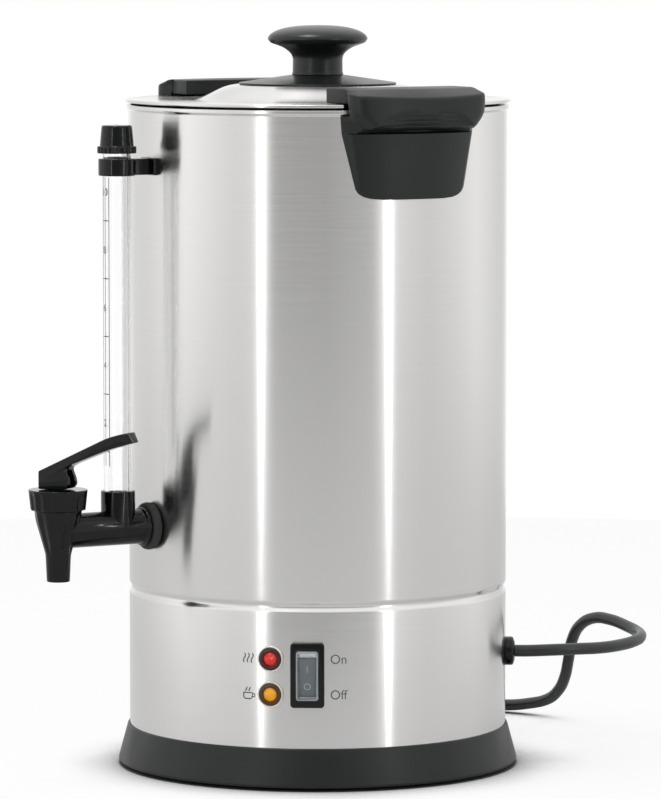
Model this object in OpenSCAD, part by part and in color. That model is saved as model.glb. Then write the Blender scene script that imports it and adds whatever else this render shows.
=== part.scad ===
// Coffee urn: a steel percolator urn with a sight gauge, a push tap, two side handles,
// a notched lid and a mains cord. Millimetres, +Z up, the tap points along -Y.

/* [Body] */
// Outer diameter of the steel wall
body_d = 220; // [190:1:260]
// Thickness of the steel wall
wall_t = 1; // [0.8:0.1:2]
// Height of the steel wall above the base ring
wall_h = 361.5; // [330:0.5:420]
// Height of the rolled rim band
rim_h = 3; // [2:0.1:5]
// How far the rim band stands out from the wall
rim_out = 1; // [0.5:0.1:2]
// Height of the pressed bead above the base ring
bead_up = 80.6; // [70:0.2:95]
// Height of the pressed bead
bead_h = 7; // [4:0.5:10]
// Depth of the pressed bead
bead_depth = 1.5; // [0.5:0.1:2.5]

/* [Base] */
// Height of the base ring
base_h = 22; // [18:0.5:30]
// How much wider the ring is at its foot than at its top, on each side
base_flare = 5.7; // [2:0.1:9]
// Gap under the base ring
base_lift = 2; // [1:0.5:4]
// How deep the wall sits in the ring
wall_seat = 10; // [6:0.5:14]
// Width of the inner flange of the ring
flange_w = 16; // [12:0.5:24]
// Thickness of the base plate
plate_t = 2; // [1.5:0.1:3]
// Diameter of a foot
foot_d = 18; // [12:0.5:24]

/* [Tank] */
// Drop from the bead to the tank floor
floor_drop = 8.6; // [7:0.1:12]
// Height of the floor's upturned edge
floor_edge = 4.5; // [3:0.1:5]
// Sheet thickness of the floor
floor_t = 1; // [0.8:0.1:2]
// Diameter of the boiling well
well_d = 60; // [50:1:80]
// Depth of the boiling well
well_depth = 12; // [8:0.5:16]
// Thickness of the heater plate
heater_t = 6; // [4:0.5:8]
// Diameter of the heating element's rod
element_d = 8; // [6:0.5:9]

/* [Brewing] */
// Outer diameter of the pump tube
pump_d = 10; // [8:0.5:14]
// Height of the pump tube's top under the rim
pump_under = 22; // [16:1:40]
// Diameter of the brew basket
basket_d = 164; // [140:1:176]
// Height of the brew basket
basket_h = 82; // [60:1:100]
// Height of the basket floor under the rim
basket_under = 120; // [110:1:140]
// Sheet thickness of the basket
basket_t = 1; // [0.8:0.1:1.5]

/* [Lid] */
// How far the lid stands out past the wall
lid_out = 1.8; // [1.2:0.1:3]
// Sheet thickness of the lid
lid_t = 1; // [0.8:0.1:1.5]
// Height of the lid's rolled edge
lid_edge = 2.3; // [1.8:0.1:4]
// Radius where the lid's shoulder starts
shoulder_out = 72; // [66:0.5:76]
// Radius where the lid's shoulder ends
shoulder_in = 54; // [50:0.5:60]
// Rise of the lid's shoulder
shoulder_rise = 8.6; // [5:0.1:12]
// Depth of the lid's locating lip
lip_h = 7; // [4:0.5:12]

/* [Knob] */
// Diameter of the knob's skirt
skirt_d = 92; // [80:1:100]
// Height of the knob's skirt
skirt_h = 5.5; // [4:0.1:9]
// Diameter of the knob's cap
cap_d = 58; // [44:1:70]
// Diameter of the knob's stem
stem_d = 29; // [22:1:36]
// Height of the knob above its skirt
knob_h = 28.8; // [24:0.1:40]
// Height of the knob's domed top
dome_h = 8; // [5:0.5:12]

/* [Handles] */
// How far the grip's ledge stands out from the wall
ledge_out = 16; // [12:0.5:22]
// Half of the ledge's width
ledge_half = 44; // [40:0.5:50]
// Half of the skirt's width at its foot
skirt_half = 37.5; // [32:0.5:42]
// Thickness of the skirt on the wall
skirt_t = 4.5; // [3.5:0.1:7]
// Height of the skirt's foot under the rim
skirt_drop = 50.5; // [44:0.5:60]
// Height of the ledge's top above the rim
ledge_up = 12; // [9:0.5:16]
// Height of the ledge's front band
band_h = 7; // [5:0.5:9]
// How far the band's top lies under the ledge's top
ledge_slope = 6.5; // [4:0.5:8]
// Height of the hollow under the ledge
hollow_h = 12; // [9:0.5:16]
// How far the seam between grip and clip lies inside the wall's face
seam_in = 7.6; // [6:0.2:10]
// How far the clip reaches inwards from the seam
clip_reach = 20.4; // [16:0.2:24]
// Width of the clip's leg inside the tank
leg_w = 56; // [48:1:64]
// Thickness of the clip's leg
leg_t = 4.5; // [3.5:0.1:6]
// Thickness of the clip's tongue over the rim
tongue_t = 3; // [2:0.1:4]

/* [Tap] */
// Height of the tap's shank above the table
tap_z = 145; // [135:0.5:160]
// Distance from the wall to the spout's axis
tap_reach = 60.6; // [55:0.2:75]
// Diameter of the shank
shank_d = 19.7; // [16:0.1:24]
// Diameter of the threaded stub through the wall
stub_d = 16; // [12:0.5:18]
// Bore of the shank
shank_bore = 10; // [7:0.5:11]
// Diameter of the washer on the wall
washer_d = 27.5; // [24:0.5:34]
// Thickness of the washer on the wall
washer_t = 5; // [3:0.5:7]
// Length of the spout under the shank's axis
spout_drop = 28.6; // [24:0.2:36]
// Diameter of the spout's mouth
spout_d = 13.2; // [12:0.1:16]
// Bore of the spout
spout_bore = 9; // [6:0.5:9.5]
// Largest diameter of the barrel
barrel_d = 27.4; // [24:0.1:32]
// Diameter of the bonnet's top
bonnet_d = 34; // [31:0.5:40]
// Height of the bonnet
bonnet_h = 11.7; // [9:0.1:14]
// Diameter of the valve stem
valve_d = 5; // [4:0.1:6]
// Width of the lever
lever_w = 12; // [10:0.5:16]
// Length of the lever from its pin to its tip
lever_len = 48.6; // [45:0.2:60]
// Height of the lever's tip above the bonnet
lever_rise = 28.5; // [25:0.5:34]
// Diameter of the lever's pin
pin_d = 3; // [2:0.1:3.5]
// Swing of the lever away from the line to the urn
lever_turn = 55; // [40:1:90]

/* [Gauge] */
// Distance from the wall to the sight tube's axis
gauge_reach = 22; // [20:0.2:26]
// Outer diameter of the sight tube
tube_d = 16; // [12:0.5:18]
// Wall of the sight tube
tube_t = 2; // [1.5:0.1:3]
// Height of the tee's socket above the shank's axis
socket_up = 21.5; // [18:0.5:28]
// Depth of the tube in its socket
socket_depth = 14; // [10:0.5:14]
// Height of the tube's top under the rim
tube_under = 14.5; // [10:0.5:30]
// Height of the bracket's top under the rim
bracket_under = 28.9; // [26:0.1:40]
// Height of the bracket
bracket_h = 9.8; // [7:0.1:14]
// Wall of the bracket's ring
bracket_t = 2.5; // [2:0.1:4]
// Diameter of the cap's flange
cap_flange_d = 22.4; // [21:0.1:27]
// Height of the cap
gauge_cap_h = 16; // [13:0.1:20]

/* [Switch and lamps] */
// Height of the switch's middle above the table
switch_z = 66; // [60:0.5:72]
// Angle of the switch, from the tap round to the right
switch_angle = 57; // [50:1:80]
// Width of the switch's frame
frame_w = 19.4; // [18:0.1:24]
// Height of the switch's frame
frame_h = 37; // [34:0.1:42]
// How far the frame stands out
frame_t = 3; // [2:0.1:4]
// Width of the clear boot
boot_w = 12.6; // [12:0.1:15]
// Height of the clear boot
boot_h = 28; // [27:0.1:32]
// How far the boot stands out of the frame
boot_out = 3.6; // [3.3:0.1:5]
// Angle of the lamps, from the tap round to the right
lamp_angle = 46; // [30:0.5:48]
// Height of the upper lamp above the table
lamp_z = 75; // [70:0.5:85]
// Drop from the upper lamp to the lower one
lamp_step = 20.3; // [17:0.1:30]
// Diameter of a lamp's bezel
lamp_d = 15; // [11:0.1:16]

/* [Cord] */
// Diameter of the cord
cord_d = 7; // [6:0.1:7]
// Height of the gland above the table
gland_z = 65.6; // [60:0.2:72]
// Angle of the gland, from the tap round to the right
gland_angle = 148; // [148:1:148]
// Diameter of the gland's bushing
gland_d = 17; // [14:0.5:22]
// How far the gland stands out from the wall
gland_out = 5.5; // [5:0.1:5.5]
// Diameter of the plug's body
plug_d = 38; // [36:0.5:40]
// Length of the plug's body
plug_l = 40; // [34:0.5:48]
// Diameter of a plug pin
plug_pin_d = 4.8; // [4:0.1:4.8]
// Length of a plug pin
plug_pin_l = 19; // [17:0.5:20]
// Distance between the plug pins
plug_pin_gap = 19; // [17:0.5:20]

/* [Clearances] */
// Gap round a piece that is fitted into another
fit_gap = 0.15; // [0.1:0.05:0.2]
// Gap between moving pieces
move_gap = 0.3; // [0.25:0.05:0.4]
// Gap of a shaft in its hole
run_gap = 0.08; // [0.05:0.01:0.1]
// Gap of a piece that is clamped to the wall
seat_gap = 0.05; // [0.02:0.01:0.1]

/* [Hidden] */
$fn = 64;

black = [0.13, 0.14, 0.14];
steel = [0.78, 0.78, 0.77];
dull_steel = [0.6, 0.6, 0.6];
silicone = [0.85, 0.85, 0.82];
glass = [0.85, 0.92, 0.95, 0.5];

// Heights and radii of the body
body_r = body_d / 2;
inner_r = body_r - wall_t;
ring_top = base_lift + base_h;
wall_z = ring_top - wall_seat;
rim_z = ring_top + wall_h;
rim_r = body_r + rim_out;
bead_z = ring_top + bead_up;
floor_z = bead_z - floor_drop;
well_r = well_d / 2;
well_z = floor_z - well_depth;
heater_r = well_r + floor_t;
heater_foot = well_z - floor_t - heater_t;
floor_under = floor_z - floor_t;
warm_clear = 11;
warm_in = heater_r + warm_clear;
warm_inset = 37;
warm_r = inner_r - warm_inset;
thermostat_inset = 24;
thermostat_circle = inner_r - thermostat_inset;
plate_up = 2;
plate_z = base_lift + plate_up;
plate_top = plate_z + plate_t;
flange_in = body_r - flange_w;
plate_inset = 2;
plate_r = body_r - plate_inset;
foot_circle = flange_in - foot_d / 2 - 1;
foot_stud = 2.9;
base_screw_circle = flange_in + 6;
base_screw_r = 1.6;

// Lid and knob
lid_r = body_r + lid_out;
lid_under = rim_z + move_gap;
lid_top = lid_under + lid_edge;
lid_lip_r = inner_r - 1.2;
plateau_z = lid_top + shoulder_rise;
skirt_z = plateau_z;
knob_z = skirt_z + skirt_h;
knob_top = knob_z + knob_h;
knob_screw_r = 2.5;

// Handles
ledge_r = body_r + ledge_out;
ledge_in = 13;
seam_x = body_r - seam_in;
ledge_top = rim_z + ledge_up;
band_top = ledge_top - ledge_slope;
band_foot = band_top - band_h;
hollow_z = band_foot - hollow_h;
skirt_foot = rim_z - skirt_drop;
skirt_r = body_r + fit_gap + skirt_t;
clip_in = seam_x - clip_reach;
clip_half = ledge_half - 2;
clip_foot = lid_top + 0.6;
leg_r = inner_r - fit_gap;
handle_screw_y = leg_w / 2 - 9;
handle_screw_drop = 24;
handle_screw_z = rim_z - handle_screw_drop;
handle_screw_r = 2;
notch_gap = 1;

// Tap
tap_y = body_r + tap_reach;
gauge_y = body_r + gauge_reach;
shank_r = shank_d / 2;
stub_r = stub_d / 2;
stub_in = 17;
seal_t = 2;
nut_t = 6;
spout_z = tap_z - spout_drop;
barrel_r = barrel_d / 2;
collar_z = tap_z + 12.5;
bonnet_top = collar_z + bonnet_h;
neck_r = barrel_r - 2.2;
neck_top = collar_z + bonnet_h / 2;
seat_z = tap_z - 5.5;
chamber_r = 7;
cup_top = seat_z + 6.6;
valve_r = valve_d / 2;
head_r = valve_r + 1.5;
head_h = 2;
head_z = seat_z + 2;
pivot_up = 6.2;
pivot_z = bonnet_top + pivot_up;
lever_half = 9.6;
cam_rate = 5.5;
cam_swing = 25;

// Gauge
tube_r = tube_d / 2;
socket_top = tap_z + socket_up;
tube_foot = socket_top - socket_depth;
tube_seal_t = 1.5;
tube_top = rim_z - tube_under;
bracket_top = rim_z - bracket_under;
bracket_r = tube_r + fit_gap + bracket_t;
cap_foot = tube_top + 4.6 - gauge_cap_h;
cap_r = tube_r + 1.75;
cap_flange_h = 3.9;

// Switch: depth is counted outwards from the wall
rocker_pivot = -4;
rocker_half = 11.6;
rocker_front = 6.4;
rocker_swing = 11;
boot_t = 0.8;
boot_front = frame_t + boot_out;
case_t = 0.65;
rocker_axle_r = 1;
switch_depth = 22;
lamp_hole = 5.2;
lamp_out = 2;
lamp_edge = 0.8;
lens_seat = 0.6;
lens_out = 3.8;

// Cord
cord_r = cord_d / 2;
gland_r = body_r + gland_out;
gland_stub = 6;

// Points of the free cord between the gland's and the coil's straight ends
cord_route = [[72, 118, 66], [75.5, 132.5, 66], [75, 148.5, 65.5],
  [71, 164.5, 65.5], [63.5, 180, 66], [52, 192, 66.5], [37, 200, 67], [20.5, 203, 68.5],
  [3.5, 202.5, 70.5], [-12, 201, 70], [-26.5, 200, 64], [-37.5, 201, 53], [-46, 204, 40],
  [-55.5, 207.5, 28], [-67, 210, 18], [-79.5, 210, 11], [-93.5, 205, 7], [-107, 198.5, 4.8],
  [-121, 190, 4.5]];

// Coil: turns wind inwards on the floor and outwards on the layer above
coil_at = [-120.5, 132.5];
coil_out = 47.5;
coil_step = 7.6;
coil_low = 4.5;
coil_start = 125.6;
turns_in = 2;
turns_climb = 0.5;
turns_out = 1.56;
turns_all = turns_in + turns_climb + turns_out;
rings_a_turn = 24;
turns_mid = turns_in + turns_climb / 2;
coil_inner = coil_out - coil_step * turns_mid;

// Route of the cord's tail: shares of its rise from the coil to the plug, at even steps
tail_share = [0, 0, 0.1, 0.35, 0.65, 0.9, 1, 1];
tail_step = 8;
tie_t = 0.8;
tie_w = 8;
tie_angle = 300;
tie_gap = 0.3;
plug_neck = 12;

// Helpers

// Draws on the wall: local z runs outwards from the axis, local y runs up
module on_wall(angle, z) {
  rotate([0, 0, angle]) translate([0, 0, z]) rotate([90, 0, 0]) children();
}

// Draws at the axis of the spout or of the gauge
module on_tap(y, z) {
  translate([0, -y, z]) children();
}

module ring(outer, inner, h) {
  difference() {
    cylinder(r = outer, h = h);
    translate([0, 0, -1]) cylinder(r = inner, h = h + 2);
  }
}

module rounded(w, h, r) {
  square([w - 2 * r, h], center = true);
  square([w, h - 2 * r], center = true);
  for (x = [-1, 1], y = [-1, 1]) translate([x * (w / 2 - r), y * (h / 2 - r)]) circle(r = r);
}

// A screw that points along +z, with its head under z = 0
module screw(r, l, head_r, head_h) {
  difference() {
    union() {
      cylinder(r = r, h = l);
      translate([0, 0, -head_h]) cylinder(r = head_r, h = head_h);
    }
    translate([0, 0, -head_h]) cube([head_r * 1.3, head_r * 0.3, head_h], center = true);
  }
}

module hexagon(across, h) {
  cylinder(r = across / 2 / cos(30), h = h, $fn = 6);
}

// The space inside the steel wall's outer face, used to seat pieces on it
module wall_space(gap) {
  cylinder(r = body_r + gap, h = rim_z, $fn = 128);
}

function unit(v) = v / norm(v);

function along(p, i) = unit(p[min(i + 1, len(p) - 1)] - p[max(i - 1, 0)]);

// Points of a ring of the cord round one point of its route
function cord_ring(at, way, r, sides) =
  let (side = unit(cross(way, [0, 0, 1])), up = cross(side, way))
  [for (k = [0 : sides - 1]) let (a = 360 * (k + 0.5) / sides) at + r * (cos(a) * side + sin(a) * up)];

// One unbroken tube along a route
module cord_tube(route, ways, r, sides) {
  n = len(route);
  points = [for (i = [0 : n - 1]) each cord_ring(route[i], ways[i], r, sides)];
  walls = [for (i = [0 : n - 2], k = [0 : sides - 1])
    let (a = i * sides + k, b = i * sides + (k + 1) % sides)
    each [[a, b, a + sides], [b, b + sides, a + sides]]];
  first = [for (k = [1 : sides - 2]) [0, k + 1, k]];
  end = (n - 1) * sides;
  last = [for (k = [1 : sides - 2]) [end, end + k, end + k + 1]];
  polyhedron(points = points, faces = concat(walls, first, last), convexity = 10);
}

// Base

module rubber_feet() {
  edge = 1;
  barb_h = 3;
  color(black) for (a = [45 : 90 : 315]) rotate([0, 0, a]) translate([foot_circle, 0, 0]) {
    cylinder(r1 = foot_d / 2 - edge, r2 = foot_d / 2, h = edge);
    translate([0, 0, edge]) cylinder(r = foot_d / 2, h = plate_z - edge);
    translate([0, 0, plate_z]) cylinder(r = foot_stud, h = plate_t);
    translate([0, 0, plate_top]) cylinder(r1 = foot_stud + 1.2, r2 = foot_stud - 0.5, h = barb_h);
  }
}

module base_plate() {
  vent_r = 2.5;
  vent_circle = flange_in * 0.4;
  color(black) difference() {
    translate([0, 0, plate_z]) cylinder(r = plate_r - fit_gap, h = plate_t);
    for (a = [45 : 90 : 315]) rotate([0, 0, a]) translate([foot_circle, 0, 0])
      cylinder(r = foot_stud + fit_gap, h = 20);
    for (a = [0 : 90 : 270]) rotate([0, 0, a]) translate([base_screw_circle, 0, 0])
      cylinder(r = base_screw_r + fit_gap, h = 20);
    for (a = [0 : 30 : 330]) rotate([0, 0, a]) translate([vent_circle, 0, 0]) cylinder(r = vent_r, h = 20);
  }
}

module base_screws() {
  color(dull_steel) for (a = [0 : 90 : 270]) rotate([0, 0, a]) translate([base_screw_circle, 0, plate_z])
    screw(base_screw_r, wall_z - plate_z - 1, 3.2, 1.6);
}

module base_ring() {
  top_r = body_r + 1;
  foot_r = top_r + base_flare;
  edge = 0.8;
  color(black) difference() {
    rotate_extrude($fn = 128) polygon([[plate_r, base_lift], [foot_r - edge, base_lift],
      [foot_r, base_lift + edge], [top_r, ring_top - edge / 2], [top_r - edge / 2, ring_top],
      [body_r + fit_gap, ring_top], [body_r + fit_gap, wall_z], [flange_in, wall_z],
      [flange_in, plate_top], [plate_r, plate_top]]);
    for (a = [0 : 90 : 270]) rotate([0, 0, a]) translate([base_screw_circle, 0, 0])
      cylinder(r = base_screw_r + fit_gap, h = wall_z + 1);
  }
}

// Body

// Outline of one face of the wall along the pressed bead
function bead_line(r) = [for (t = [-1 : 0.25 : 1])
  [r - bead_depth * (1 + cos(180 * t)) / 2, bead_z + t * bead_h / 2]];

function flipped(list) = [for (i = [len(list) - 1 : -1 : 0]) list[i]];

module body_shell() {
  color(steel) difference() {
    rotate_extrude($fn = 128) polygon(concat(
      [[inner_r, wall_z], [body_r, wall_z]],
      bead_line(body_r),
      [[body_r, rim_z - rim_h], [rim_r, rim_z - rim_h + rim_out / 2], [rim_r, rim_z], [inner_r, rim_z]],
      flipped(bead_line(inner_r))));
    on_wall(0, tap_z) cylinder(r = stub_r + fit_gap, h = 2 * body_r);
    on_wall(0, bracket_top - bracket_h / 2) cylinder(r = base_screw_r + fit_gap, h = 2 * body_r);
    on_wall(switch_angle, switch_z) linear_extrude(2 * body_r) switch_hole();
    for (z = [lamp_z, lamp_z - lamp_step])
      on_wall(lamp_angle, z) cylinder(r = lamp_hole + fit_gap, h = 2 * body_r);
    on_wall(gland_angle, gland_z) cylinder(r = gland_stub + fit_gap, h = 2 * body_r);
    for (side = [0, 180], y = [-1, 1]) rotate([0, 0, side])
      translate([0, y * handle_screw_y, handle_screw_z]) rotate([0, 90, 0])
        cylinder(r = handle_screw_r + fit_gap, h = 2 * body_r);
  }
}

module tank_floor() {
  edge_r = inner_r - fit_gap;
  color(steel) rotate_extrude($fn = 128) polygon([[0, well_z - floor_t], [heater_r, well_z - floor_t],
    [heater_r, floor_z - floor_t], [edge_r, floor_z - floor_t], [edge_r, floor_z + floor_edge],
    [edge_r - floor_t, floor_z + floor_edge], [edge_r - floor_t, floor_z], [well_r, floor_z],
    [well_r, well_z], [0, well_z]]);
}

module heater_plate() {
  color([0.75, 0.75, 0.75]) translate([0, 0, heater_foot]) cylinder(r = heater_r, h = heater_t);
}

module heating_element() {
  circle_r = heater_r - element_d;
  mid_z = heater_foot - element_d / 2 - fit_gap;
  leg_l = 16;
  color([0.45, 0.42, 0.4]) {
    translate([0, 0, mid_z]) rotate_extrude() translate([circle_r, 0]) circle(r = element_d / 2);
    for (a = [-20, 20]) rotate([0, 0, a]) translate([circle_r, 0, mid_z - leg_l])
      cylinder(r = element_d / 4, h = leg_l);
  }
}

module keep_warm_ring() {
  band_t = 3.5;
  color([0.8, 0.76, 0.68]) translate([0, 0, floor_under - band_t]) ring(warm_r, warm_in, band_t);
}

// A disc thermostat under the tank floor, with two tabs
module thermostat(angle, r, h) {
  tab_w = 3;
  tab_t = 0.8;
  tab_l = 8;
  rotate([0, 0, angle]) translate([thermostat_circle, 0, floor_under - h]) {
    cylinder(r = r, h = h);
    for (x = [-1, 1]) translate([x * r / 2, 0, -tab_l / 2]) cube([tab_w, tab_t, tab_l], center = true);
  }
}

module brew_thermostat() {
  color([0.3, 0.25, 0.22]) thermostat(20, 8.5, 9);
}

module safety_cutout() {
  color([0.85, 0.85, 0.8]) thermostat(200, 7, 7);
}

lead_inset = 22;
lead_in = body_r - lead_inset;
lead_bend = 3 * cord_d;
block_size = [40, 20, 18];
block_h = block_size[2];

module terminal_block() {
  screw_x = 14;
  color([0.9, 0.9, 0.86]) rotate([0, 0, gland_angle]) translate([0, -(lead_in - lead_bend), plate_top])
    difference() {
      translate([-block_size[0] / 2, -block_size[1] / 2, 0]) cube(block_size);
      for (x = [-1, 1]) translate([x * screw_x, 0, block_h / 2]) cylinder(r = 2, h = block_h);
    }
}

module supply_lead() {
  color(black) rotate([0, 0, gland_angle]) {
    translate([0, -lead_in, gland_z]) rotate([90, 0, 0])
      cylinder(r = cord_r, h = body_r - wall_t - 10 - lead_in);
    translate([0, -lead_in, gland_z - lead_bend]) rotate([90, 0, 90])
      rotate_extrude(angle = 90) translate([lead_bend, 0]) circle(r = cord_r);
    translate([0, -lead_in + lead_bend, plate_top + block_h])
      cylinder(r = cord_r, h = gland_z - lead_bend - plate_top - block_h);
  }
}

// Brewing

pump_r = pump_d / 2;
pump_top = rim_z - pump_under;
basket_z = rim_z - basket_under;
basket_top = basket_z + basket_h;
basket_r = basket_d / 2;
basket_lip_r = basket_r + 3;
sleeve_r = pump_r + 1.2;

module pump_stem() {
  foot_r = well_r - 2;
  foot_h = 3;
  cone_h = 8;
  stop_h = 4;
  pipe_t = 1;
  color(steel) difference() {
    union() {
      translate([0, 0, well_z]) cylinder(r = foot_r, h = foot_h);
      translate([0, 0, well_z + foot_h]) cylinder(r1 = foot_r, r2 = pump_r + 2, h = cone_h);
      translate([0, 0, well_z + foot_h]) cylinder(r = pump_r, h = pump_top - well_z - foot_h);
      translate([0, 0, basket_z - stop_h]) cylinder(r = pump_r + 5, h = stop_h);
    }
    translate([0, 0, well_z - 1]) cylinder(r = pump_r - pipe_t, h = pump_top - well_z + 2);
    for (a = [0 : 60 : 300]) rotate([0, 0, a]) translate([well_r * 0.6, 0, well_z - 1])
      cylinder(r = 2, h = foot_h + cone_h + 5);
  }
}

module brew_basket() {
  lip_z = basket_top - 2;
  color(steel) difference() {
    union() {
      rotate_extrude($fn = 96) polygon([[sleeve_r, basket_z], [basket_r, basket_z],
        [basket_r, lip_z], [basket_lip_r, basket_top],
        [basket_lip_r - basket_t, basket_top], [basket_r - basket_t, lip_z + 0.4],
        [basket_r - basket_t, basket_z + basket_t], [sleeve_r, basket_z + basket_t]]);
      translate([0, 0, basket_z]) ring(sleeve_r, pump_r + fit_gap, basket_h * 0.6);
    }
    for (row = [1 : 4], k = [1 : 6 * row]) rotate([0, 0, 60 * k / row])
      translate([row * basket_r / 5, 0, basket_z - 1]) cylinder(r = 1.2, h = 4, $fn = 16);
  }
}

module basket_cover() {
  edge_h = 5;
  color(steel) difference() {
    union() {
      translate([0, 0, basket_top]) cylinder(r = basket_lip_r, h = basket_t, $fn = 96);
      translate([0, 0, basket_top]) ring(basket_lip_r, basket_lip_r - basket_t, edge_h);
    }
    translate([0, 0, basket_top - 1]) cylinder(r = pump_r + fit_gap, h = 4);
    for (row = [1 : 4], k = [1 : 5 * row]) rotate([0, 0, 72 * k / row])
      translate([row * basket_r / 5, 0, basket_top - 1]) cylinder(r = 1.5, h = 4, $fn = 16);
  }
}

// Lid

// Upper line of the lid from its shoulder inwards
function shoulder_line(drop) = [for (t = [0 : 0.125 : 1])
  [shoulder_out + (shoulder_in - shoulder_out) * t,
   lid_top - drop + (shoulder_rise - 0.6) * (1 - cos(180 * t)) / 2]];

module lid_plate() {
  notch_x = clip_in - notch_gap;
  notch_half = ledge_half + notch_gap;
  round = 0.6;
  color(steel) difference() {
    union() {
      rotate_extrude($fn = 128) polygon(concat(
        [[lid_r - lid_edge, lid_under], [lid_r - round, lid_under], [lid_r, lid_under + round],
         [lid_r, lid_top - round], [lid_r - round, lid_top]],
        shoulder_line(0),
        [[stem_d / 2, plateau_z], [0, plateau_z], [0, plateau_z - lid_t], [stem_d / 2, plateau_z - lid_t]],
        flipped(shoulder_line(lid_t)),
        [[lid_r - lid_edge, lid_top - lid_t]]));
      translate([0, 0, lid_top - lip_h]) ring(lid_lip_r, lid_lip_r - lid_t, lip_h);
    }
    for (side = [0, 180]) rotate([0, 0, side])
      translate([notch_x, -notch_half, lid_top - lip_h - 1]) cube([body_r, 2 * notch_half, lip_h + 20]);
    cylinder(r = knob_screw_r + fit_gap, h = knob_top);
  }
}

module knob_skirt() {
  color(black) difference() {
    rotate_extrude($fn = 96) polygon([[0, skirt_z], [skirt_d / 2, skirt_z], [skirt_d / 2, skirt_z + 1.2],
      [stem_d / 2 + 1, knob_z], [0, knob_z]]);
    cylinder(r = knob_screw_r + fit_gap, h = knob_top);
  }
}

module lid_knob() {
  cap_r = cap_d / 2;
  stem_r = stem_d / 2;
  wide_z = knob_top - dome_h;
  flare_h = 8;
  stem_top = wide_z - flare_h;
  dome = [for (a = [0 : 10 : 90]) [cap_r * cos(a), wide_z + dome_h * sin(a)]];
  flare = [for (a = [0 : 15 : 90]) [cap_r - (cap_r - stem_r) * sin(a), wide_z - flare_h * (1 - cos(a))]];
  color(black) difference() {
    rotate_extrude($fn = 96) polygon(concat(
      [[0, knob_z], [stem_r + 1, knob_z], [stem_r + 1, knob_z + 2], [stem_r, knob_z + 2.6]],
      flipped(flare), [for (i = [1 : len(dome) - 1]) dome[i]]));
    cylinder(r = knob_screw_r + fit_gap, h = stem_top + 2);
  }
}

module knob_screw() {
  color(dull_steel) translate([0, 0, plateau_z - lid_t])
    screw(knob_screw_r, knob_h - dome_h - 8 + skirt_h + lid_t, 7, 2.5);
}

// Handles

// Outline of the ledge, seen from above, out to a radius and a half width
module ledge_outline(r, half) {
  corner = 8;
  back_x = inner_r - leg_t - 20;
  turn = asin((half - corner) / (r - corner));
  intersection() {
    circle(r = r, $fn = 96);
    translate([back_x, -half + corner]) square([r, 2 * half - 2 * corner]);
  }
  for (side = [-1, 1]) rotate(side * turn) translate([r - corner, 0]) circle(r = corner);
  translate([back_x, -half]) square([(r - corner) * cos(turn) - back_x, 2 * half]);
}

// Outline of the grip, seen from the side of the urn: a ledge over a skirt that narrows to its foot
module grip_outline() {
  corner = 9;
  wide = ledge_half - 1;
  right = [[skirt_half - corner, skirt_foot], [skirt_half, skirt_foot + corner], [wide, hollow_z],
    [ledge_half, band_foot], [ledge_half, band_top], [ledge_half - 4, ledge_top]];
  polygon(concat(right, flipped([for (p = right) [-p[0], p[1]]])));
  for (side = [-1, 1]) translate([side * (skirt_half - corner), skirt_foot + corner]) circle(r = corner);
}

// Profile of the grip, turned round the axis of the urn
module grip_profile() {
  top_r = ledge_r - ledge_in;
  edge = 1.5;
  polygon([[clip_in, skirt_foot], [skirt_r - edge, skirt_foot], [skirt_r, skirt_foot + edge],
    [skirt_r, hollow_z], [ledge_r, band_foot], [ledge_r, band_top - edge], [ledge_r - edge, band_top],
    [top_r, ledge_top], [clip_in, ledge_top]]);
}

module handle_grip() {
  grooves = 4;
  groove_r = 0.7;
  groove_sweep = 2 * asin((ledge_half - 9) / ledge_r);
  color(black) difference() {
    intersection() {
      rotate_extrude($fn = 128) grip_profile();
      rotate([90, 0, 90]) linear_extrude(ledge_r + 1) grip_outline();
      translate([0, 0, skirt_foot - 1]) linear_extrude(ledge_top - skirt_foot + 2)
        ledge_outline(ledge_r + 0.5, ledge_half + 0.5);
    }
    wall_clear();
    clip_tongue(fit_gap);
    translate([0, -ledge_r, lid_top]) cube([seam_x, 2 * ledge_r, ledge_up]);
    for (k = [0.5 : grooves]) let (t = k / grooves)
      translate([0, 0, hollow_z + t * hollow_h]) rotate([0, 0, -groove_sweep / 2])
        rotate_extrude(angle = groove_sweep) translate([skirt_r + t * (ledge_r - skirt_r), 0])
          circle(r = groove_r, $fn = 24);
    for (y = [-1, 1]) translate([0, y * handle_screw_y, handle_screw_z]) rotate([0, 90, 0])
      cylinder(r = handle_screw_r + fit_gap, h = body_r + 2.6);
  }
}

// Room for the wall, the rim and the lid's edge
module wall_clear() {
  foot = rim_z - rim_h - 0.5;
  cylinder(r = body_r + fit_gap, h = clip_foot, $fn = 128);
  translate([0, 0, foot]) cylinder(r = lid_r + 2 * move_gap, h = clip_foot - foot, $fn = 128);
}

// The clip's tongue passes under the grip, over the rim, to the leg inside the tank
module clip_tongue(gap) {
  intersection() {
    translate([clip_in, -leg_w / 2 - gap, clip_foot - gap])
      cube([body_r, leg_w + 2 * gap, tongue_t + 2 * gap]);
    cylinder(r = leg_r + gap, h = ledge_top, $fn = 128);
  }
}

module handle_clip() {
  leg_foot = handle_screw_z - 8;
  color(black) difference() {
    union() {
      translate([clip_in, -clip_half, clip_foot])
        cube([seam_x - fit_gap - clip_in, 2 * clip_half, ledge_top - clip_foot]);
      clip_tongue(0);
      intersection() {
        translate([0, 0, leg_foot]) ring(leg_r, leg_r - leg_t, clip_foot + tongue_t - leg_foot, $fn = 128);
        translate([0, -leg_w / 2, leg_foot]) cube([body_r, leg_w, ledge_top]);
      }
    }
    for (y = [-1, 1]) translate([0, y * handle_screw_y, handle_screw_z]) rotate([0, 90, 0])
      cylinder(r = handle_screw_r + fit_gap, h = body_r);
  }
}

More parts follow.
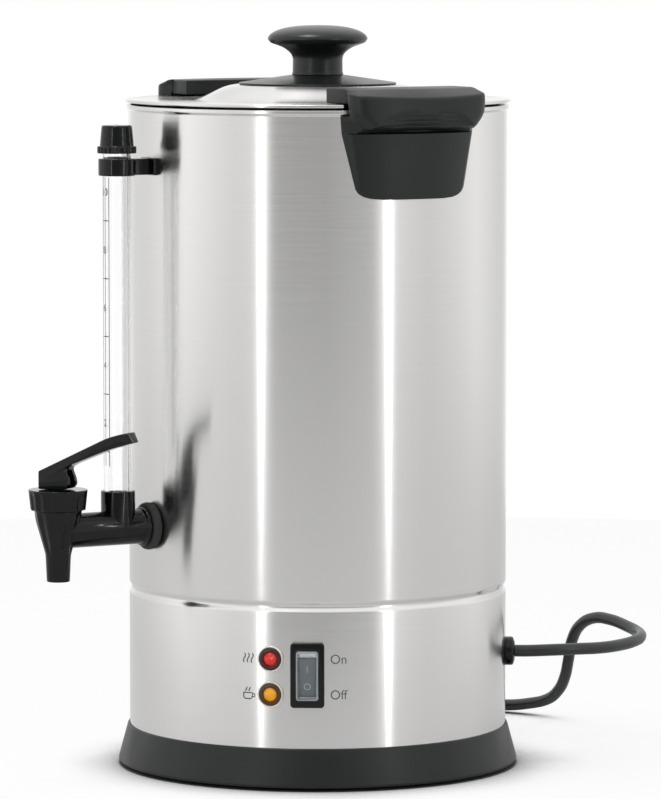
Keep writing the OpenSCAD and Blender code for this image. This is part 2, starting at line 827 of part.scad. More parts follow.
module handle_screws() {
  face_x = sqrt(pow(leg_r - leg_t, 2) - pow(handle_screw_y + 4, 2));
  color(dull_steel) for (y = [-1, 1]) translate([face_x, y * handle_screw_y, handle_screw_z])
    rotate([0, 90, 0]) screw(handle_screw_r, body_r + 2 - face_x, 3.8, 2.4);
}

module handle_right() { handle_grip(); }
module handle_left() { rotate([0, 0, 180]) handle_grip(); }
module clip_right() { handle_clip(); }
module clip_left() { rotate([0, 0, 180]) handle_clip(); }
module screws_right() { handle_screws(); }
module screws_left() { rotate([0, 0, 180]) handle_screws(); }

// Tap

module barrel_outline() {
  polygon([[0, spout_z], [spout_d / 2, spout_z], [0.55 * spout_d, tap_z - 0.48 * spout_drop],
    [0.613 * barrel_r, tap_z - 0.325 * spout_drop], [0.94 * barrel_r, (tap_z + collar_z) / 2],
    [barrel_r, collar_z - fit_gap], [neck_r, collar_z - fit_gap],
    [neck_r, neck_top], [0, neck_top]]);
}

module tap_body() {
  flutes = 10;
  flute_r = 3;
  color(black) difference() {
    union() {
      on_tap(tap_y, 0) rotate_extrude() barrel_outline();
      on_wall(0, tap_z) {
        translate([0, 0, body_r + washer_t]) cylinder(r = shank_r, h = tap_reach - washer_t);
        translate([0, 0, body_r + washer_t]) cylinder(r = shank_r + 1.4, h = 3);
        translate([0, 0, inner_r - stub_in]) cylinder(r = stub_r, h = stub_in + wall_t + washer_t);
      }
      on_tap(gauge_y, tap_z) cylinder(r = shank_r, h = socket_up);
    }
    on_wall(0, tap_z) translate([0, 0, inner_r - stub_in - 1])
      cylinder(r = shank_bore / 2, h = tap_y - inner_r + stub_in + 1);
    on_tap(tap_y, seat_z) cylinder(r = chamber_r, h = neck_top - seat_z + 1);
    on_tap(tap_y, spout_z - 1) cylinder(r = spout_bore / 2, h = seat_z - spout_z + 2);
    on_tap(gauge_y, tap_z) cylinder(r = tube_r - tube_t - 1, h = socket_up + 1);
    on_tap(gauge_y, tube_foot - tube_seal_t)
      cylinder(r = tube_r + fit_gap, h = socket_depth + tube_seal_t + 1);
    for (k = [0 : flutes - 1]) on_tap(tap_y, tap_z - 7) rotate([0, 0, 360 * (k + 0.5) / flutes + 90])
      translate([8.8 + flute_r, 0, 0]) rotate([0, 12, 0]) cylinder(r = flute_r, h = 19);
  }
}

module tap_washer() {
  round_r = washer_t / 2;
  color(black) difference() {
    on_wall(0, tap_z) translate([0, 0, body_r]) rotate_extrude() {
      translate([stub_r + fit_gap, -1]) square([washer_d / 2 - stub_r - fit_gap - round_r, washer_t + 1]);
      translate([washer_d / 2 - round_r, round_r]) circle(r = round_r);
      translate([washer_d / 2 - round_r - 0.5, -1]) square([round_r + 0.5, 1 + round_r]);
    }
    wall_space(seat_gap);
  }
}

// Ring inside the wall, cut to the wall's curve
module tap_inner_seal() {
  color(silicone) intersection() {
    on_wall(0, tap_z) translate([0, 0, inner_r - seal_t - 1.6])
      ring(stub_r + 4, stub_r + fit_gap, seal_t + 4);
    cylinder(r = inner_r - seat_gap, h = rim_z, $fn = 128);
  }
}

module tap_nut() {
  color(dull_steel) on_wall(0, tap_z) translate([0, 0, inner_r - seal_t - 1.6 - nut_t])
    difference() {
      hexagon(stub_d + 9, nut_t);
      translate([0, 0, -1]) cylinder(r = stub_r + fit_gap, h = nut_t + 2);
    }
}

module tap_bonnet() {
  scallops = 16;
  edge = 0.6;
  top_r = bonnet_d / 2;
  foot_r = top_r - 1.25;
  color(black) on_tap(tap_y, collar_z) difference() {
    rotate_extrude() polygon([[0, 0], [foot_r, 0], [top_r, bonnet_h - edge], [top_r - edge, bonnet_h],
      [0, bonnet_h]]);
    translate([0, 0, -1]) cylinder(r = neck_r + fit_gap, h = neck_top - collar_z + 1 + fit_gap);
    translate([0, 0, -1]) cylinder(r = valve_r + run_gap, h = bonnet_h + 2);
    for (k = [0 : scallops - 1]) rotate([0, 0, 360 * k / scallops]) translate([foot_r + 2.2, 0, -1])
      rotate([0, 6, 0]) cylinder(r = 2.4, h = bonnet_h - 0.5);
  }
}

module seat_cup() {
  color(silicone) on_tap(tap_y, 0) difference() {
    union() {
      translate([0, 0, seat_z + 0.1]) cylinder(r1 = 5, r2 = chamber_r - 2 * move_gap, h = 2);
      translate([0, 0, seat_z + 2.1]) cylinder(r = chamber_r - 2 * move_gap, h = cup_top - seat_z - 2.1);
    }
    translate([0, 0, head_z]) cylinder(r = head_r + run_gap, h = head_h + 2 * run_gap);
    translate([0, 0, head_z]) cylinder(r = valve_r + run_gap, h = 20);
  }
}

module valve_spring() {
  color(dull_steel) on_tap(tap_y, cup_top) ring(valve_r + 2, valve_r + 1, neck_top + fit_gap - cup_top);
}

module valve_stem() {
  color(black) on_tap(tap_y, 0) difference() {
    union() {
      translate([0, 0, head_z + run_gap]) cylinder(r = head_r, h = head_h);
      translate([0, 0, head_z + run_gap]) cylinder(r = valve_r, h = pivot_z + 2.8 - head_z);
    }
    at_pivot() cylinder(r = pin_d / 2 + run_gap / 4, h = lever_w, center = true);
  }
}

// Draws at the lever's pin: local x runs along the lever, local y up, local z along the pin
module at_pivot() {
  translate([0, 0, pivot_z]) rotate([0, 0, 90 - lever_turn]) rotate([90, 0, 0]) children();
}

module lever_pin() {
  color(dull_steel) on_tap(tap_y, 0) at_pivot() cylinder(r = pin_d / 2, h = lever_w - 0.4, center = true);
}

// Underside of the lever's cam: the lift grows with the angle at a steady rate
function cam_point(a) =
  let (h = pivot_up - move_gap + cam_rate * a * PI / 180)
  [h * sin(a) + cam_rate * cos(a), -h * cos(a) + cam_rate * sin(a)];

module lever_outline() {
  up = pivot_up;
  root = [[1.01 * lever_half, 0.56 * up], [0.96 * lever_half, 1.05 * up], [0.67 * lever_half, 2.05 * up]];
  arm = [[1.2 * lever_half, 0.52 * lever_rise], [0.66 * lever_len, 0.84 * lever_rise],
    [lever_len, lever_rise], [0.94 * lever_len, 1.2 * lever_rise],
    [0.69 * lever_len, 1.1 * lever_rise], [-lever_half, 1.7 * up]];
  polygon(concat([[-lever_half, move_gap - up]], [for (a = [0 : 5 : cam_swing]) cam_point(a)],
    [for (p = concat(root, arm)) p - [0, up]]));
}

module tap_lever() {
  slot_w = valve_d + 2 * move_gap;
  nick = [1, 1.6];
  color(black) on_tap(tap_y, 0) at_pivot() difference() {
    linear_extrude(lever_w, center = true) lever_outline();
    translate([-lever_half + 2, -pivot_up - 1, -slot_w / 2]) cube([2 * lever_half, pivot_up + 5.2, slot_w]);
    cylinder(r = pin_d / 2 + run_gap, h = lever_w + 2, center = true);
    translate([0.632 * lever_len, 1.062 * lever_rise - pivot_up, 0]) rotate([0, 0, 25])
      cube([nick[0], nick[1], lever_w + 2], center = true);
  }
}

// Gauge

module sight_tube() {
  color(glass) on_tap(gauge_y, tube_foot) ring(tube_r, tube_r - tube_t, tube_top - tube_foot);
}

module tube_seal() {
  color(silicone) on_tap(gauge_y, tube_foot - tube_seal_t)
    ring(tube_r, tube_r - tube_t - 0.5, tube_seal_t);
}

module gauge_bracket() {
  color(black) difference() {
    union() {
      on_tap(gauge_y, bracket_top - bracket_h) cylinder(r = bracket_r, h = bracket_h);
      translate([-4.5, -gauge_y + tube_r, bracket_top - bracket_h]) cube([9, gauge_reach, bracket_h]);
      translate([-8, -body_r - 2.5, bracket_top - bracket_h]) cube([16, 5, bracket_h]);
    }
    on_tap(gauge_y, 0) cylinder(r = tube_r + fit_gap, h = rim_z);
    wall_space(seat_gap);
    on_wall(0, bracket_top - bracket_h / 2) cylinder(r = base_screw_r + fit_gap, h = gauge_y - tube_r);
  }
}

module bracket_screw() {
  color(dull_steel) on_wall(0, bracket_top - bracket_h / 2) translate([0, 0, inner_r - 0.15])
    screw(base_screw_r, gauge_reach - tube_r - bracket_t, 3.2, 2);
}

module gauge_cap() {
  knurls = 24;
  cone_h = gauge_cap_h - cap_flange_h;
  inside_h = tube_top - cap_foot + 1.6;
  color(black) on_tap(gauge_y, cap_foot) difference() {
    union() {
      cylinder(r = cap_flange_d / 2, h = cap_flange_h);
      translate([0, 0, cap_flange_h]) cylinder(r1 = cap_r, r2 = cap_r - 1.1, h = cone_h);
    }
    translate([0, 0, -1]) cylinder(r = tube_r + move_gap, h = inside_h + 1);
    for (k = [0 : knurls - 1]) rotate([0, 0, 360 * k / knurls]) translate([cap_flange_d / 2 + 0.3, 0, -1])
      cylinder(r = 0.8, h = cap_flange_h + 2, $fn = 16);
    translate([0, 0, inside_h - 1]) cylinder(r = 1, h = 20);
  }
}

module cap_bung() {
  color(silicone) on_tap(gauge_y, tube_top) difference() {
    union() {
      translate([0, 0, -6]) cylinder(r = tube_r - tube_t - move_gap, h = 6.2);
      translate([0, 0, 0.2]) cylinder(r = tube_r, h = 1.4);
    }
    translate([0, 0, -7]) cylinder(r = 1, h = 10);
  }
}

// Switch and lamps

// Outline of the boot, grown on each side
module boot_outline(grow, corner) {
  rounded(boot_w + 2 * grow, boot_h + 2 * grow, corner);
}

module switch_hole() {
  boot_outline(case_t + fit_gap, 1);
}

// Draws on the switch's face: local z is counted from the wall
module on_switch() {
  on_wall(switch_angle, switch_z) translate([0, 0, body_r]) children();
}

module switch_body() {
  edge = 0.8;
  tab = [5, 0.8, 8];
  color(black) {
    difference() {
      on_switch() {
        translate([0, 0, -1]) linear_extrude(frame_t + 1 - edge) rounded(frame_w, frame_h, 2);
        translate([0, 0, frame_t - edge]) linear_extrude(edge)
          rounded(frame_w - 2 * edge, frame_h - 2 * edge, 1.4);
      }
      wall_space(seat_gap);
      on_switch() translate([0, 0, -5]) linear_extrude(20) boot_outline(fit_gap, 1);
    }
    on_switch() translate([0, 0, -switch_depth]) difference() {
      linear_extrude(switch_depth + frame_t - edge) boot_outline(case_t, 1);
      translate([0, 0, 2]) linear_extrude(switch_depth + 10) boot_outline(fit_gap - boot_t, 0.6);
      translate([0, 0, switch_depth]) linear_extrude(10) boot_outline(fit_gap, 1);
      translate([0, 0, switch_depth + rocker_pivot]) rotate([0, 90, 0])
        cylinder(r = rocker_axle_r + run_gap, h = boot_w + 4, center = true);
    }
    on_switch() for (y = [-8, 0, 8]) translate([0, y, -switch_depth - tab[2] / 2]) cube(tab, center = true);
  }
}

module switch_rocker() {
  rocker_w = boot_w - 2 * boot_t - 2 * move_gap - 0.6;
  color([0.7, 0.7, 0.7]) on_switch() translate([0, 0, rocker_pivot]) rotate([rocker_swing, 0, 0]) {
    rotate([90, 0, 90]) linear_extrude(rocker_w, center = true)
      polygon([[-rocker_half, rocker_front], [-rocker_half, rocker_front - 3], [-5, -4], [5, -4],
        [rocker_half, rocker_front - 3], [rocker_half, rocker_front], [0, rocker_front - 1.2]]);
    rotate([0, 90, 0]) cylinder(r = rocker_axle_r, h = boot_w + 1, center = true);
  }
}

module switch_boot() {
  edge = 1.2;
  color(glass) on_switch() difference() {
    union() {
      linear_extrude(boot_front - edge) boot_outline(0, 1);
      translate([0, 0, boot_front - edge]) linear_extrude(edge) boot_outline(-boot_t / 2, 1);
    }
    translate([0, 0, -1]) linear_extrude(boot_front - boot_t + 1) boot_outline(-boot_t, 0.6);
  }
}

module on_lamp(step) {
  on_wall(lamp_angle, lamp_z - step * lamp_step) translate([0, 0, body_r]) children();
}

module lamp_body(step) {
  bezel_r = lamp_d / 2;
  bezel_in = 1;
  barrel_l = 18;
  tab_w = 2.8;
  tab_t = 0.6;
  tab_l = 7;
  tab_y = 2;
  tab_in = barrel_l + tab_l / 2 - 0.5;
  color([0.85, 0.82, 0.78]) difference() {
    on_lamp(step) {
      translate([0, 0, -bezel_in]) cylinder(r = bezel_r, h = bezel_in + lamp_out - lamp_edge);
      translate([0, 0, lamp_out - lamp_edge])
        cylinder(r1 = bezel_r, r2 = bezel_r - lamp_edge, h = lamp_edge);
    }
    difference() {
      wall_space(seat_gap);
      on_lamp(step) translate([0, 0, -barrel_l]) cylinder(r = lamp_hole, h = 2 * barrel_l);
    }
    on_lamp(step) translate([0, 0, lens_seat]) cylinder(r = lamp_hole, h = barrel_l);
  }
  color([0.85, 0.82, 0.78]) on_lamp(step) {
    translate([0, 0, -barrel_l]) cylinder(r = lamp_hole, h = barrel_l + lens_seat);
    for (y = [-tab_y, tab_y]) translate([0, y, -tab_in]) cube([tab_w, tab_t, tab_l], center = true);
  }
}

module lamp_lens(step) {
  lens_r = lamp_hole - fit_gap;
  lens_top = lens_r - 1.8;
  on_lamp(step) {
    translate([0, 0, lens_seat]) cylinder(r = lens_r, h = lamp_out - lens_seat);
    translate([0, 0, lamp_out]) cylinder(r1 = lens_r, r2 = lens_top, h = lens_out - lamp_out);
  }
}

module heating_lamp_body() { lamp_body(0); }
module warm_lamp_body() { lamp_body(1); }
module heating_lamp_lens() { color([0.85, 0.1, 0.08]) lamp_lens(0); }
module warm_lamp_lens() { color([0.95, 0.6, 0.1]) lamp_lens(1); }

module lamp_nuts() {
  color(dull_steel) for (step = [0, 1]) on_lamp(step) translate([0, 0, -wall_t - 3.5]) difference() {
    hexagon(14, 3);
    translate([0, 0, -1]) cylinder(r = lamp_hole + fit_gap, h = 6);
  }
}

// Cord

module cord_gland() {
  edge = 1.2;
  stub_l = 10 + wall_t;
  color(black) {
    difference() {
      on_wall(gland_angle, gland_z) {
        translate([0, 0, body_r - 1]) cylinder(r = gland_d / 2, h = gland_out + 1 - edge);
        translate([0, 0, gland_r - edge]) cylinder(r1 = gland_d / 2, r2 = gland_d / 2 - edge, h = edge);
      }
      wall_space(seat_gap);
    }
    on_wall(gland_angle, gland_z) translate([0, 0, body_r - stub_l])
      cylinder(r = gland_stub, h = stub_l + 1);
  }
}

module gland_nut() {
  color(black) on_wall(gland_angle, gland_z) translate([0, 0, inner_r - 5.5]) difference() {
    hexagon(18, 5);
    translate([0, 0, -1]) cylinder(r = gland_stub + fit_gap, h = 8);
  }
}

// The cord leaves the gland square to it
gland_way = [sin(gland_angle), -cos(gland_angle), 0];
gland_face = [gland_r * gland_way[0], gland_r * gland_way[1], gland_z];

// Points of the coil, by the number of turns wound so far
function coil_radius(t) = coil_inner + coil_step * abs(t - turns_mid);

function coil_height(t) =
  let (s = min(1, max(0, (t - turns_in) / turns_climb)))
  coil_low + coil_step * (1 - cos(180 * s)) / 2;

function coil_point(t) =
  let (a = coil_start + 360 * t)
  [coil_at[0] + coil_radius(t) * cos(a), coil_at[1] + coil_radius(t) * sin(a), coil_height(t)];

function coil_way(t) = unit(coil_point(t + 0.001) - coil_point(t - 0.001));

coil_rings = round(turns_all * rings_a_turn);
coil_route = [for (i = [0 : coil_rings]) coil_point(turns_all * i / coil_rings)];
coil_ways = [for (i = [0 : coil_rings]) coil_way(turns_all * i / coil_rings)];

// The straight end of the coil's tube, at its start and at its finish
coil_first = coil_route[0] - cord_d * coil_ways[0];
coil_last = coil_route[coil_rings] + cord_d * coil_ways[coil_rings];
coil_line = concat([coil_first], coil_route, [coil_last]);
coil_line_ways = concat([coil_ways[0]], coil_ways, [coil_ways[coil_rings]]);

// Least gap of the coil to itself, between points over half a turn apart
coil_gap = min([for (i = [0 : coil_rings], j = [i + rings_a_turn / 2 : 1 : coil_rings])
  norm(coil_route[i] - coil_route[j])]) - cord_d;
echo(coil_gap = coil_gap);

free_line = concat([gland_face, gland_face + cord_d * gland_way],
  cord_route, [coil_first - cord_d * coil_ways[0], coil_first]);
free_ways = [for (i = [0 : len(free_line) - 1])
  i == 0 ? gland_way : i == len(free_line) - 1 ? coil_ways[0] : along(free_line, i)];

tail_way = unit([coil_ways[coil_rings][0], coil_ways[coil_rings][1], 0]);
tail_count = len(tail_share) - 1;
tail_rise = plug_d / 2 + tie_gap - coil_low - coil_step;
tail_line = [for (i = [0 : tail_count])
  coil_last + tail_way * tail_step * i + [0, 0, tail_rise * tail_share[i]]];
tail_ways = [for (i = [0 : tail_count]) i == 0 || i == tail_count ? tail_way : along(tail_line, i)];
plug_at = tail_line[tail_count];

function path_length(p) =
  let (steps = [for (i = [1 : len(p) - 1]) norm(p[i] - p[i - 1])])
  steps * [for (x = steps) 1];
echo(cord_length = path_length(free_line) + path_length(coil_line) + path_length(tail_line));

module power_cord() { color(black) cord_tube(free_line, free_ways, cord_r, 8); }
module cord_coil() { color(black) cord_tube(coil_line, coil_line_ways, cord_r, 6); }
module cord_tail() { color(black) cord_tube(tail_line, tail_ways, cord_r, 8); }

// A strap round all the turns at one place of the coil
module coil_tie() {
  bundle_in = coil_inner - cord_r - tie_gap - 0.5;
  bundle_out = coil_out + cord_r + tie_gap;
  low = coil_low - cord_r;
  wide = bundle_out - bundle_in;
  tall = coil_step + cord_d + tie_gap;
  color([0.2, 0.2, 0.2]) translate([coil_at[0], coil_at[1], 0]) rotate([0, 0, tie_angle])
    rotate([90, 0, 0]) linear_extrude(tie_w, center = true)
      difference() {
        translate([bundle_in - tie_t, low - tie_t]) square([wide + 2 * tie_t, tall + 2 * tie_t]);
        translate([bundle_in, low]) square([wide, tall]);
      }
}

// Draws at the plug: local z runs along the plug, away from the cord
module at_plug() {
  translate(plug_at) rotate([0, 0, atan2(tail_way[1], tail_way[0])]) rotate([0, 90, 0]) children();
}

module mains_plug() {
  color(black) at_plug() rotate_extrude() polygon([[0, 0], [cord_r + 2, 0], [cord_r + 3.5, plug_neck],
    [plug_d / 2 - 5, plug_neck + 4], [plug_d / 2, plug_neck + 10], [plug_d / 2, plug_neck + plug_l - 2],
    [plug_d / 2 - 2, plug_neck + plug_l], [0, plug_neck + plug_l]]);
}

module plug_pins() {
  color(steel) at_plug() for (side = [-1, 1]) translate([0, side * plug_pin_gap / 2, plug_neck + plug_l])
    cylinder(r = plug_pin_d / 2, h = plug_pin_l);
}

rubber_feet();
base_plate();
base_screws();
base_ring();
body_shell();
tank_floor();
heater_plate();
heating_element();
keep_warm_ring();
brew_thermostat();
safety_cutout();
terminal_block();
supply_lead();
pump_stem();
brew_basket();
basket_cover();
lid_plate();
knob_skirt();
lid_knob();
knob_screw();
handle_right();
handle_left();
clip_right();
clip_left();
screws_right();
screws_left();
tap_body();
tap_washer();
tap_inner_seal();
tap_nut();
tap_bonnet();
seat_cup();
valve_spring();
valve_stem();
lever_pin();
tap_lever();
sight_tube();
tube_seal();
gauge_bracket();
bracket_screw();
gauge_cap();
cap_bung();
switch_body();
switch_rocker();
switch_boot();
heating_lamp_body();
heating_lamp_lens();
warm_lamp_body();
warm_lamp_lens();
lamp_nuts();
cord_gland();
gland_nut();
power_cord();
cord_coil();
cord_tail();
coil_tie();
mains_plug();
plug_pins();
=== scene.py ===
"""A steel coffee urn with a sight gauge, a push tap, two side handles, a notched lid and a
coiled mains cord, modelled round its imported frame. Outlines are in millimetres."""

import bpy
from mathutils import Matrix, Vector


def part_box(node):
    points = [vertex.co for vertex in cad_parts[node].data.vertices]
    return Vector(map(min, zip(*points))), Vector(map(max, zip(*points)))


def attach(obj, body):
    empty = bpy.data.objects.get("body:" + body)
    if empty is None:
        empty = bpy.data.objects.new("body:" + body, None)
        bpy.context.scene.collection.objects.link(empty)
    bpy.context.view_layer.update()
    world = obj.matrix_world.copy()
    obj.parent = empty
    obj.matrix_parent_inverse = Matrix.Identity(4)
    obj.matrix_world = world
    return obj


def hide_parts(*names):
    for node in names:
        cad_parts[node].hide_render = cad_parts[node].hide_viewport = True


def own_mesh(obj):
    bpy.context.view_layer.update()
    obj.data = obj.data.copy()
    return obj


bl_info = {
    "name": "Coffee urn",
    "version": (1, 0, 0),
    "blender": (4, 5, 0),
    "location": "3D View > Sidebar > Coffee urn",
    "description": "Models a steel percolator urn round its packed frame",
    "category": "Object",
}

import math

import bpy
from mathutils import Matrix, Vector

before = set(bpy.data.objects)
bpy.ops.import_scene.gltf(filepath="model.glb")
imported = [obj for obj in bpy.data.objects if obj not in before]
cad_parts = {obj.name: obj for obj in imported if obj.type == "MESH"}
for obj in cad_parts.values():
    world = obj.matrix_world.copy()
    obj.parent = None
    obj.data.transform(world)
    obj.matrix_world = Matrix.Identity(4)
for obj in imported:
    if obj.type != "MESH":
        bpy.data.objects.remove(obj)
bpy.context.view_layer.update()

MM = 0.001
FULL_TURN = 2 * math.pi
WIDE_STEPS = 256  # faces round the body, the base and the lid
STEPS = 96  # faces round the smaller turned pieces


def span(node):
    """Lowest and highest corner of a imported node, in millimetres."""
    return tuple(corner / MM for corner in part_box(node))


def heights(node):
    """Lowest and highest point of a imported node, in millimetres."""
    return tuple(corner.z for corner in span(node))


def middle(node):
    """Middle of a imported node's box, in millimetres."""
    lowest, highest = span(node)
    return (lowest + highest) / 2


# Heights and radii that the pieces share, read from the frame
WALL_FOOT, RIM = heights("body_shell")
RIM_R = span("body_shell")[1].x
BODY_R = RIM_R - 1
LID_R = span("lid_plate")[1].y
TAP = middle("tap_bonnet")
TAP_AXIS = (TAP.x, TAP.y)
GAUGE = middle("sight_tube")
GAUGE_AXIS = (GAUGE.x, GAUGE.y)
SWITCH_ANGLE, SWITCH_Z = 57, middle("switch_boot").z
LAMP_ANGLE = 46
GLAND_ANGLE, GLAND_Z = 148, middle("cord_gland").z
PLUG = middle("mains_plug")
PLUG_WAY = (middle("plug_pins") - PLUG).normalized()


# Colours and nodes


def linear(code):
    """Linear colour of an sRGB hex value."""
    parts = [int(code[i:i + 2], 16) / 255 for i in (1, 3, 5)]
    return [((c + 0.055) / 1.055) ** 2.4 if c > 0.04045 else c / 12.92 for c in parts] + [1.0]


def add(tree, kind, inputs=None, **settings):
    """Adds a node with its settings; each input takes a value or a socket to link."""
    node = tree.nodes.new(kind)
    for key, value in settings.items():
        setattr(node, key, value)
    for key, value in (inputs or {}).items():
        if isinstance(value, bpy.types.NodeSocket):
            tree.links.new(value, node.inputs[key])
        else:
            node.inputs[key].default_value = value
    return node


def start_material(name, colour, **sockets):
    """A material with one shader, its even values set on the shader's own sockets."""
    material = bpy.data.materials.new(name)
    material.use_nodes = True
    tree = material.node_tree
    shader = tree.nodes["Principled BSDF"]
    shader.inputs["Base Color"].default_value = colour
    for key, value in sockets.items():
        shader.inputs[key.replace("_", " ").title().replace("Ior", "IOR")].default_value = value
    return material, tree, shader


def per_mm(size):
    """Pattern scale, in repeats a metre, of a detail that is size millimetres wide."""
    return 1 / (size * MM)


def from_noise(tree, noise, low, high):
    """A value between low and high that follows a noise over its usual range."""
    return add(tree, "ShaderNodeMapRange", {"Value": noise.outputs["Fac"], "From Min": 0.3,
               "From Max": 0.7, "To Min": low, "To Max": high}).outputs["Result"]


def grain(tree, shader, size, roughness, depth, colour=None):
    """Uneven gloss, a fine relief and, between two colours, a slow change of shade."""
    place = add(tree, "ShaderNodeTexCoord").outputs["Object"]
    fine = add(tree, "ShaderNodeTexNoise", {"Vector": place, "Scale": per_mm(size), "Detail": 3})
    slow = add(tree, "ShaderNodeTexNoise", {"Vector": place, "Scale": per_mm(30 * size), "Detail": 2})
    gloss = from_noise(tree, slow, *roughness)
    relief = add(tree, "ShaderNodeBump", {"Height": fine.outputs["Fac"], "Strength": 1,
                 "Distance": depth * MM})
    tree.links.new(gloss, shader.inputs["Roughness"])
    tree.links.new(relief.outputs["Normal"], shader.inputs["Normal"])
    if colour:
        shade = add(tree, "ShaderNodeMix", {0: slow.outputs["Fac"], 6: colour[0], 7: colour[1]},
                    data_type="RGBA")
        tree.links.new(shade.outputs[2], shader.inputs["Base Color"])


def user_colour(name):
    """One of the colours that a user can change, opaque."""
    return list(getattr(bpy.context.scene.urn_colours, name)) + [1]


def grained(name, colour, size, roughness, depth, shades=(), **sockets):
    """A material with an even grain, and a slow change of shade if two are given."""
    material, tree, shader = start_material(name, colour, **sockets)
    grain(tree, shader, size, roughness, depth, [linear(code) for code in shades])
    return material


# Materials


def brushed_stainless_steel():
    """Sheet steel, brushed round the body, so reflections are sharp sideways and drawn out
    up and down. The lines are about 0.1 mm wide, drawn at 0.6 mm so that they show."""
    material, tree, shader = start_material("brushed_stainless_steel", user_colour("steel"), metallic=1,
                                            anisotropic=0.9, anisotropic_rotation=0.25)
    place = add(tree, "ShaderNodeTexCoord").outputs["Object"]
    flat = add(tree, "ShaderNodeVectorMath", {0: place, 1: (1, 1, 0)}, operation="MULTIPLY")
    reach = add(tree, "ShaderNodeVectorMath", {0: flat.outputs[0]}, operation="LENGTH")
    height = add(tree, "ShaderNodeSeparateXYZ", {"Vector": place})
    across = add(tree, "ShaderNodeMath", {0: reach.outputs["Value"], 1: height.outputs["Z"]})
    along = add(tree, "ShaderNodeVectorMath", {0: flat.outputs[0], 1: (per_mm(45),) * 3},
                operation="MULTIPLY")
    lines_at = add(tree, "ShaderNodeMath", {0: across.outputs[0], 1: per_mm(0.6)},
                   operation="MULTIPLY")
    lines_way = add(tree, "ShaderNodeCombineXYZ", {"Z": lines_at.outputs[0]})
    at = add(tree, "ShaderNodeVectorMath", {0: along.outputs[0], 1: lines_way.outputs[0]})
    lines = add(tree, "ShaderNodeTexNoise", {"Vector": at.outputs[0], "Scale": 1, "Detail": 2})
    gloss = from_noise(tree, lines, 0.2, 0.23)
    shade = add(tree, "ShaderNodeHueSaturation", {"Color": user_colour("steel"),
                "Value": from_noise(tree, lines, 0.988, 1.012)})
    tree.links.new(shade.outputs["Color"], shader.inputs["Base Color"])
    tree.links.new(gloss, shader.inputs["Roughness"])
    tangent = add(tree, "ShaderNodeTangent", direction_type="RADIAL", axis="Z")
    tree.links.new(tangent.outputs["Tangent"], shader.inputs["Tangent"])
    return material


def satin_phenolic():
    """Moulded black phenolic with a satin skin and a fine orange peel."""
    return grained("satin_phenolic", user_colour("satin"), 0.9, (0.36, 0.46), 0.01, ior=1.5,
                   specular_ior_level=0.36)


def polished_phenolic():
    """The knob's black phenolic, polished by hands, so the ceiling shows on its crown."""
    return grained("polished_phenolic", user_colour("satin"), 1.4, (0.26, 0.34), 0.01, ior=1.5,
                   specular_ior_level=0.4)


def gloss_nylon():
    """Moulded black nylon of the tap and the gauge fittings, with a polished skin."""
    return grained("gloss_nylon", user_colour("gloss"), 1.4, (0.06, 0.13), 0.005, ior=1.5,
                   specular_ior_level=0.3)


def black_rubber():
    """Black rubber, moulded smooth, with a slight shine and a faint bloom."""
    return grained("black_rubber", linear("#121516"), 0.6, (0.22, 0.34), 0.01,
                   ("#0f1213", "#171a1b"), ior=1.52)


def clear_silicone():
    """Milky silicone seals."""
    return grained("clear_silicone", linear("#dcdcd6"), 1.2, (0.4, 0.5), 0.01, ior=1.41,
                   transmission_weight=0.35)


def borosilicate_tube():
    """Drawn glass tube: clear, with faint lines along it from the drawing."""
    material, tree, shader = start_material("borosilicate_tube", linear("#ffffff"), ior=1.47,
                                            roughness=0.0, transmission_weight=1)
    place = add(tree, "ShaderNodeTexCoord").outputs["Object"]
    drawn = add(tree, "ShaderNodeVectorMath", {0: place, 1: (1, 1, 0.01)}, operation="MULTIPLY")
    waves = add(tree, "ShaderNodeTexNoise", {"Vector": drawn.outputs[0], "Scale": per_mm(6)})
    relief = add(tree, "ShaderNodeBump", {"Height": waves.outputs["Fac"], "Distance": 0.0002 * MM})
    tree.links.new(relief.outputs["Normal"], shader.inputs["Normal"])
    return material


def clear_vinyl():
    """Window of the soft vinyl boot, clear with a slight bloom."""
    return grained("clear_vinyl", linear("#f4f7f8"), 2, (0.02, 0.06), 0.01, ior=1.4,
                   transmission_weight=1)


def milky_vinyl():
    """Thick rim of the vinyl boot, milky where light gathers in it."""
    return grained("milky_vinyl", linear("#b4bcc1"), 2, (0.15, 0.25), 0.01, ior=1.4,
                   transmission_weight=0.3)


def grey_polycarbonate():
    """Grey rocker moulding."""
    return grained("grey_polycarbonate", user_colour("rocker"), 0.8, (0.3, 0.4), 0.01, ior=1.58)


def red_acrylic():
    """Red lamp lens; its emission and brighter red are a painted glow of the lamp behind it."""
    return grained("red_acrylic", user_colour("red"), 1, (0.06, 0.12), 0.03, ior=1.49,
                   emission_color=user_colour("red"), emission_strength=0.22)


def amber_acrylic():
    """Amber lamp lens; its emission and brighter amber are a painted glow of the lamp behind it."""
    return grained("amber_acrylic", user_colour("amber"), 1, (0.06, 0.12), 0.03, ior=1.49,
                   emission_color=user_colour("amber"), emission_strength=0.22)


def dark_red_acrylic():
    """Rim of the red lens, a deeper red that is painted shade round the lit core."""
    return grained("dark_red_acrylic", linear("#3c0f0b"), 1, (0.15, 0.25), 0.01, ior=1.49)


def dark_amber_acrylic():
    """Rim of the amber lens, a deeper amber that is painted shade round the lit core."""
    return grained("dark_amber_acrylic", linear("#4b2c07"), 1, (0.15, 0.25), 0.01, ior=1.49)


def bright_bezel():
    """Cream white moulded bezel of a lamp."""
    return grained("bright_bezel", linear("#f3eee4"), 2, (0.2, 0.3), 0.005, ior=1.5)


def zinc_plated_steel():
    """Bright zinc on small fasteners, with a cloudy passivated skin."""
    return grained("zinc_plated_steel", linear("#c9cac6"), 1.5, (0.28, 0.42), 0.02,
                   ("#c2c3bd", "#d3d4d2"), metallic=1)


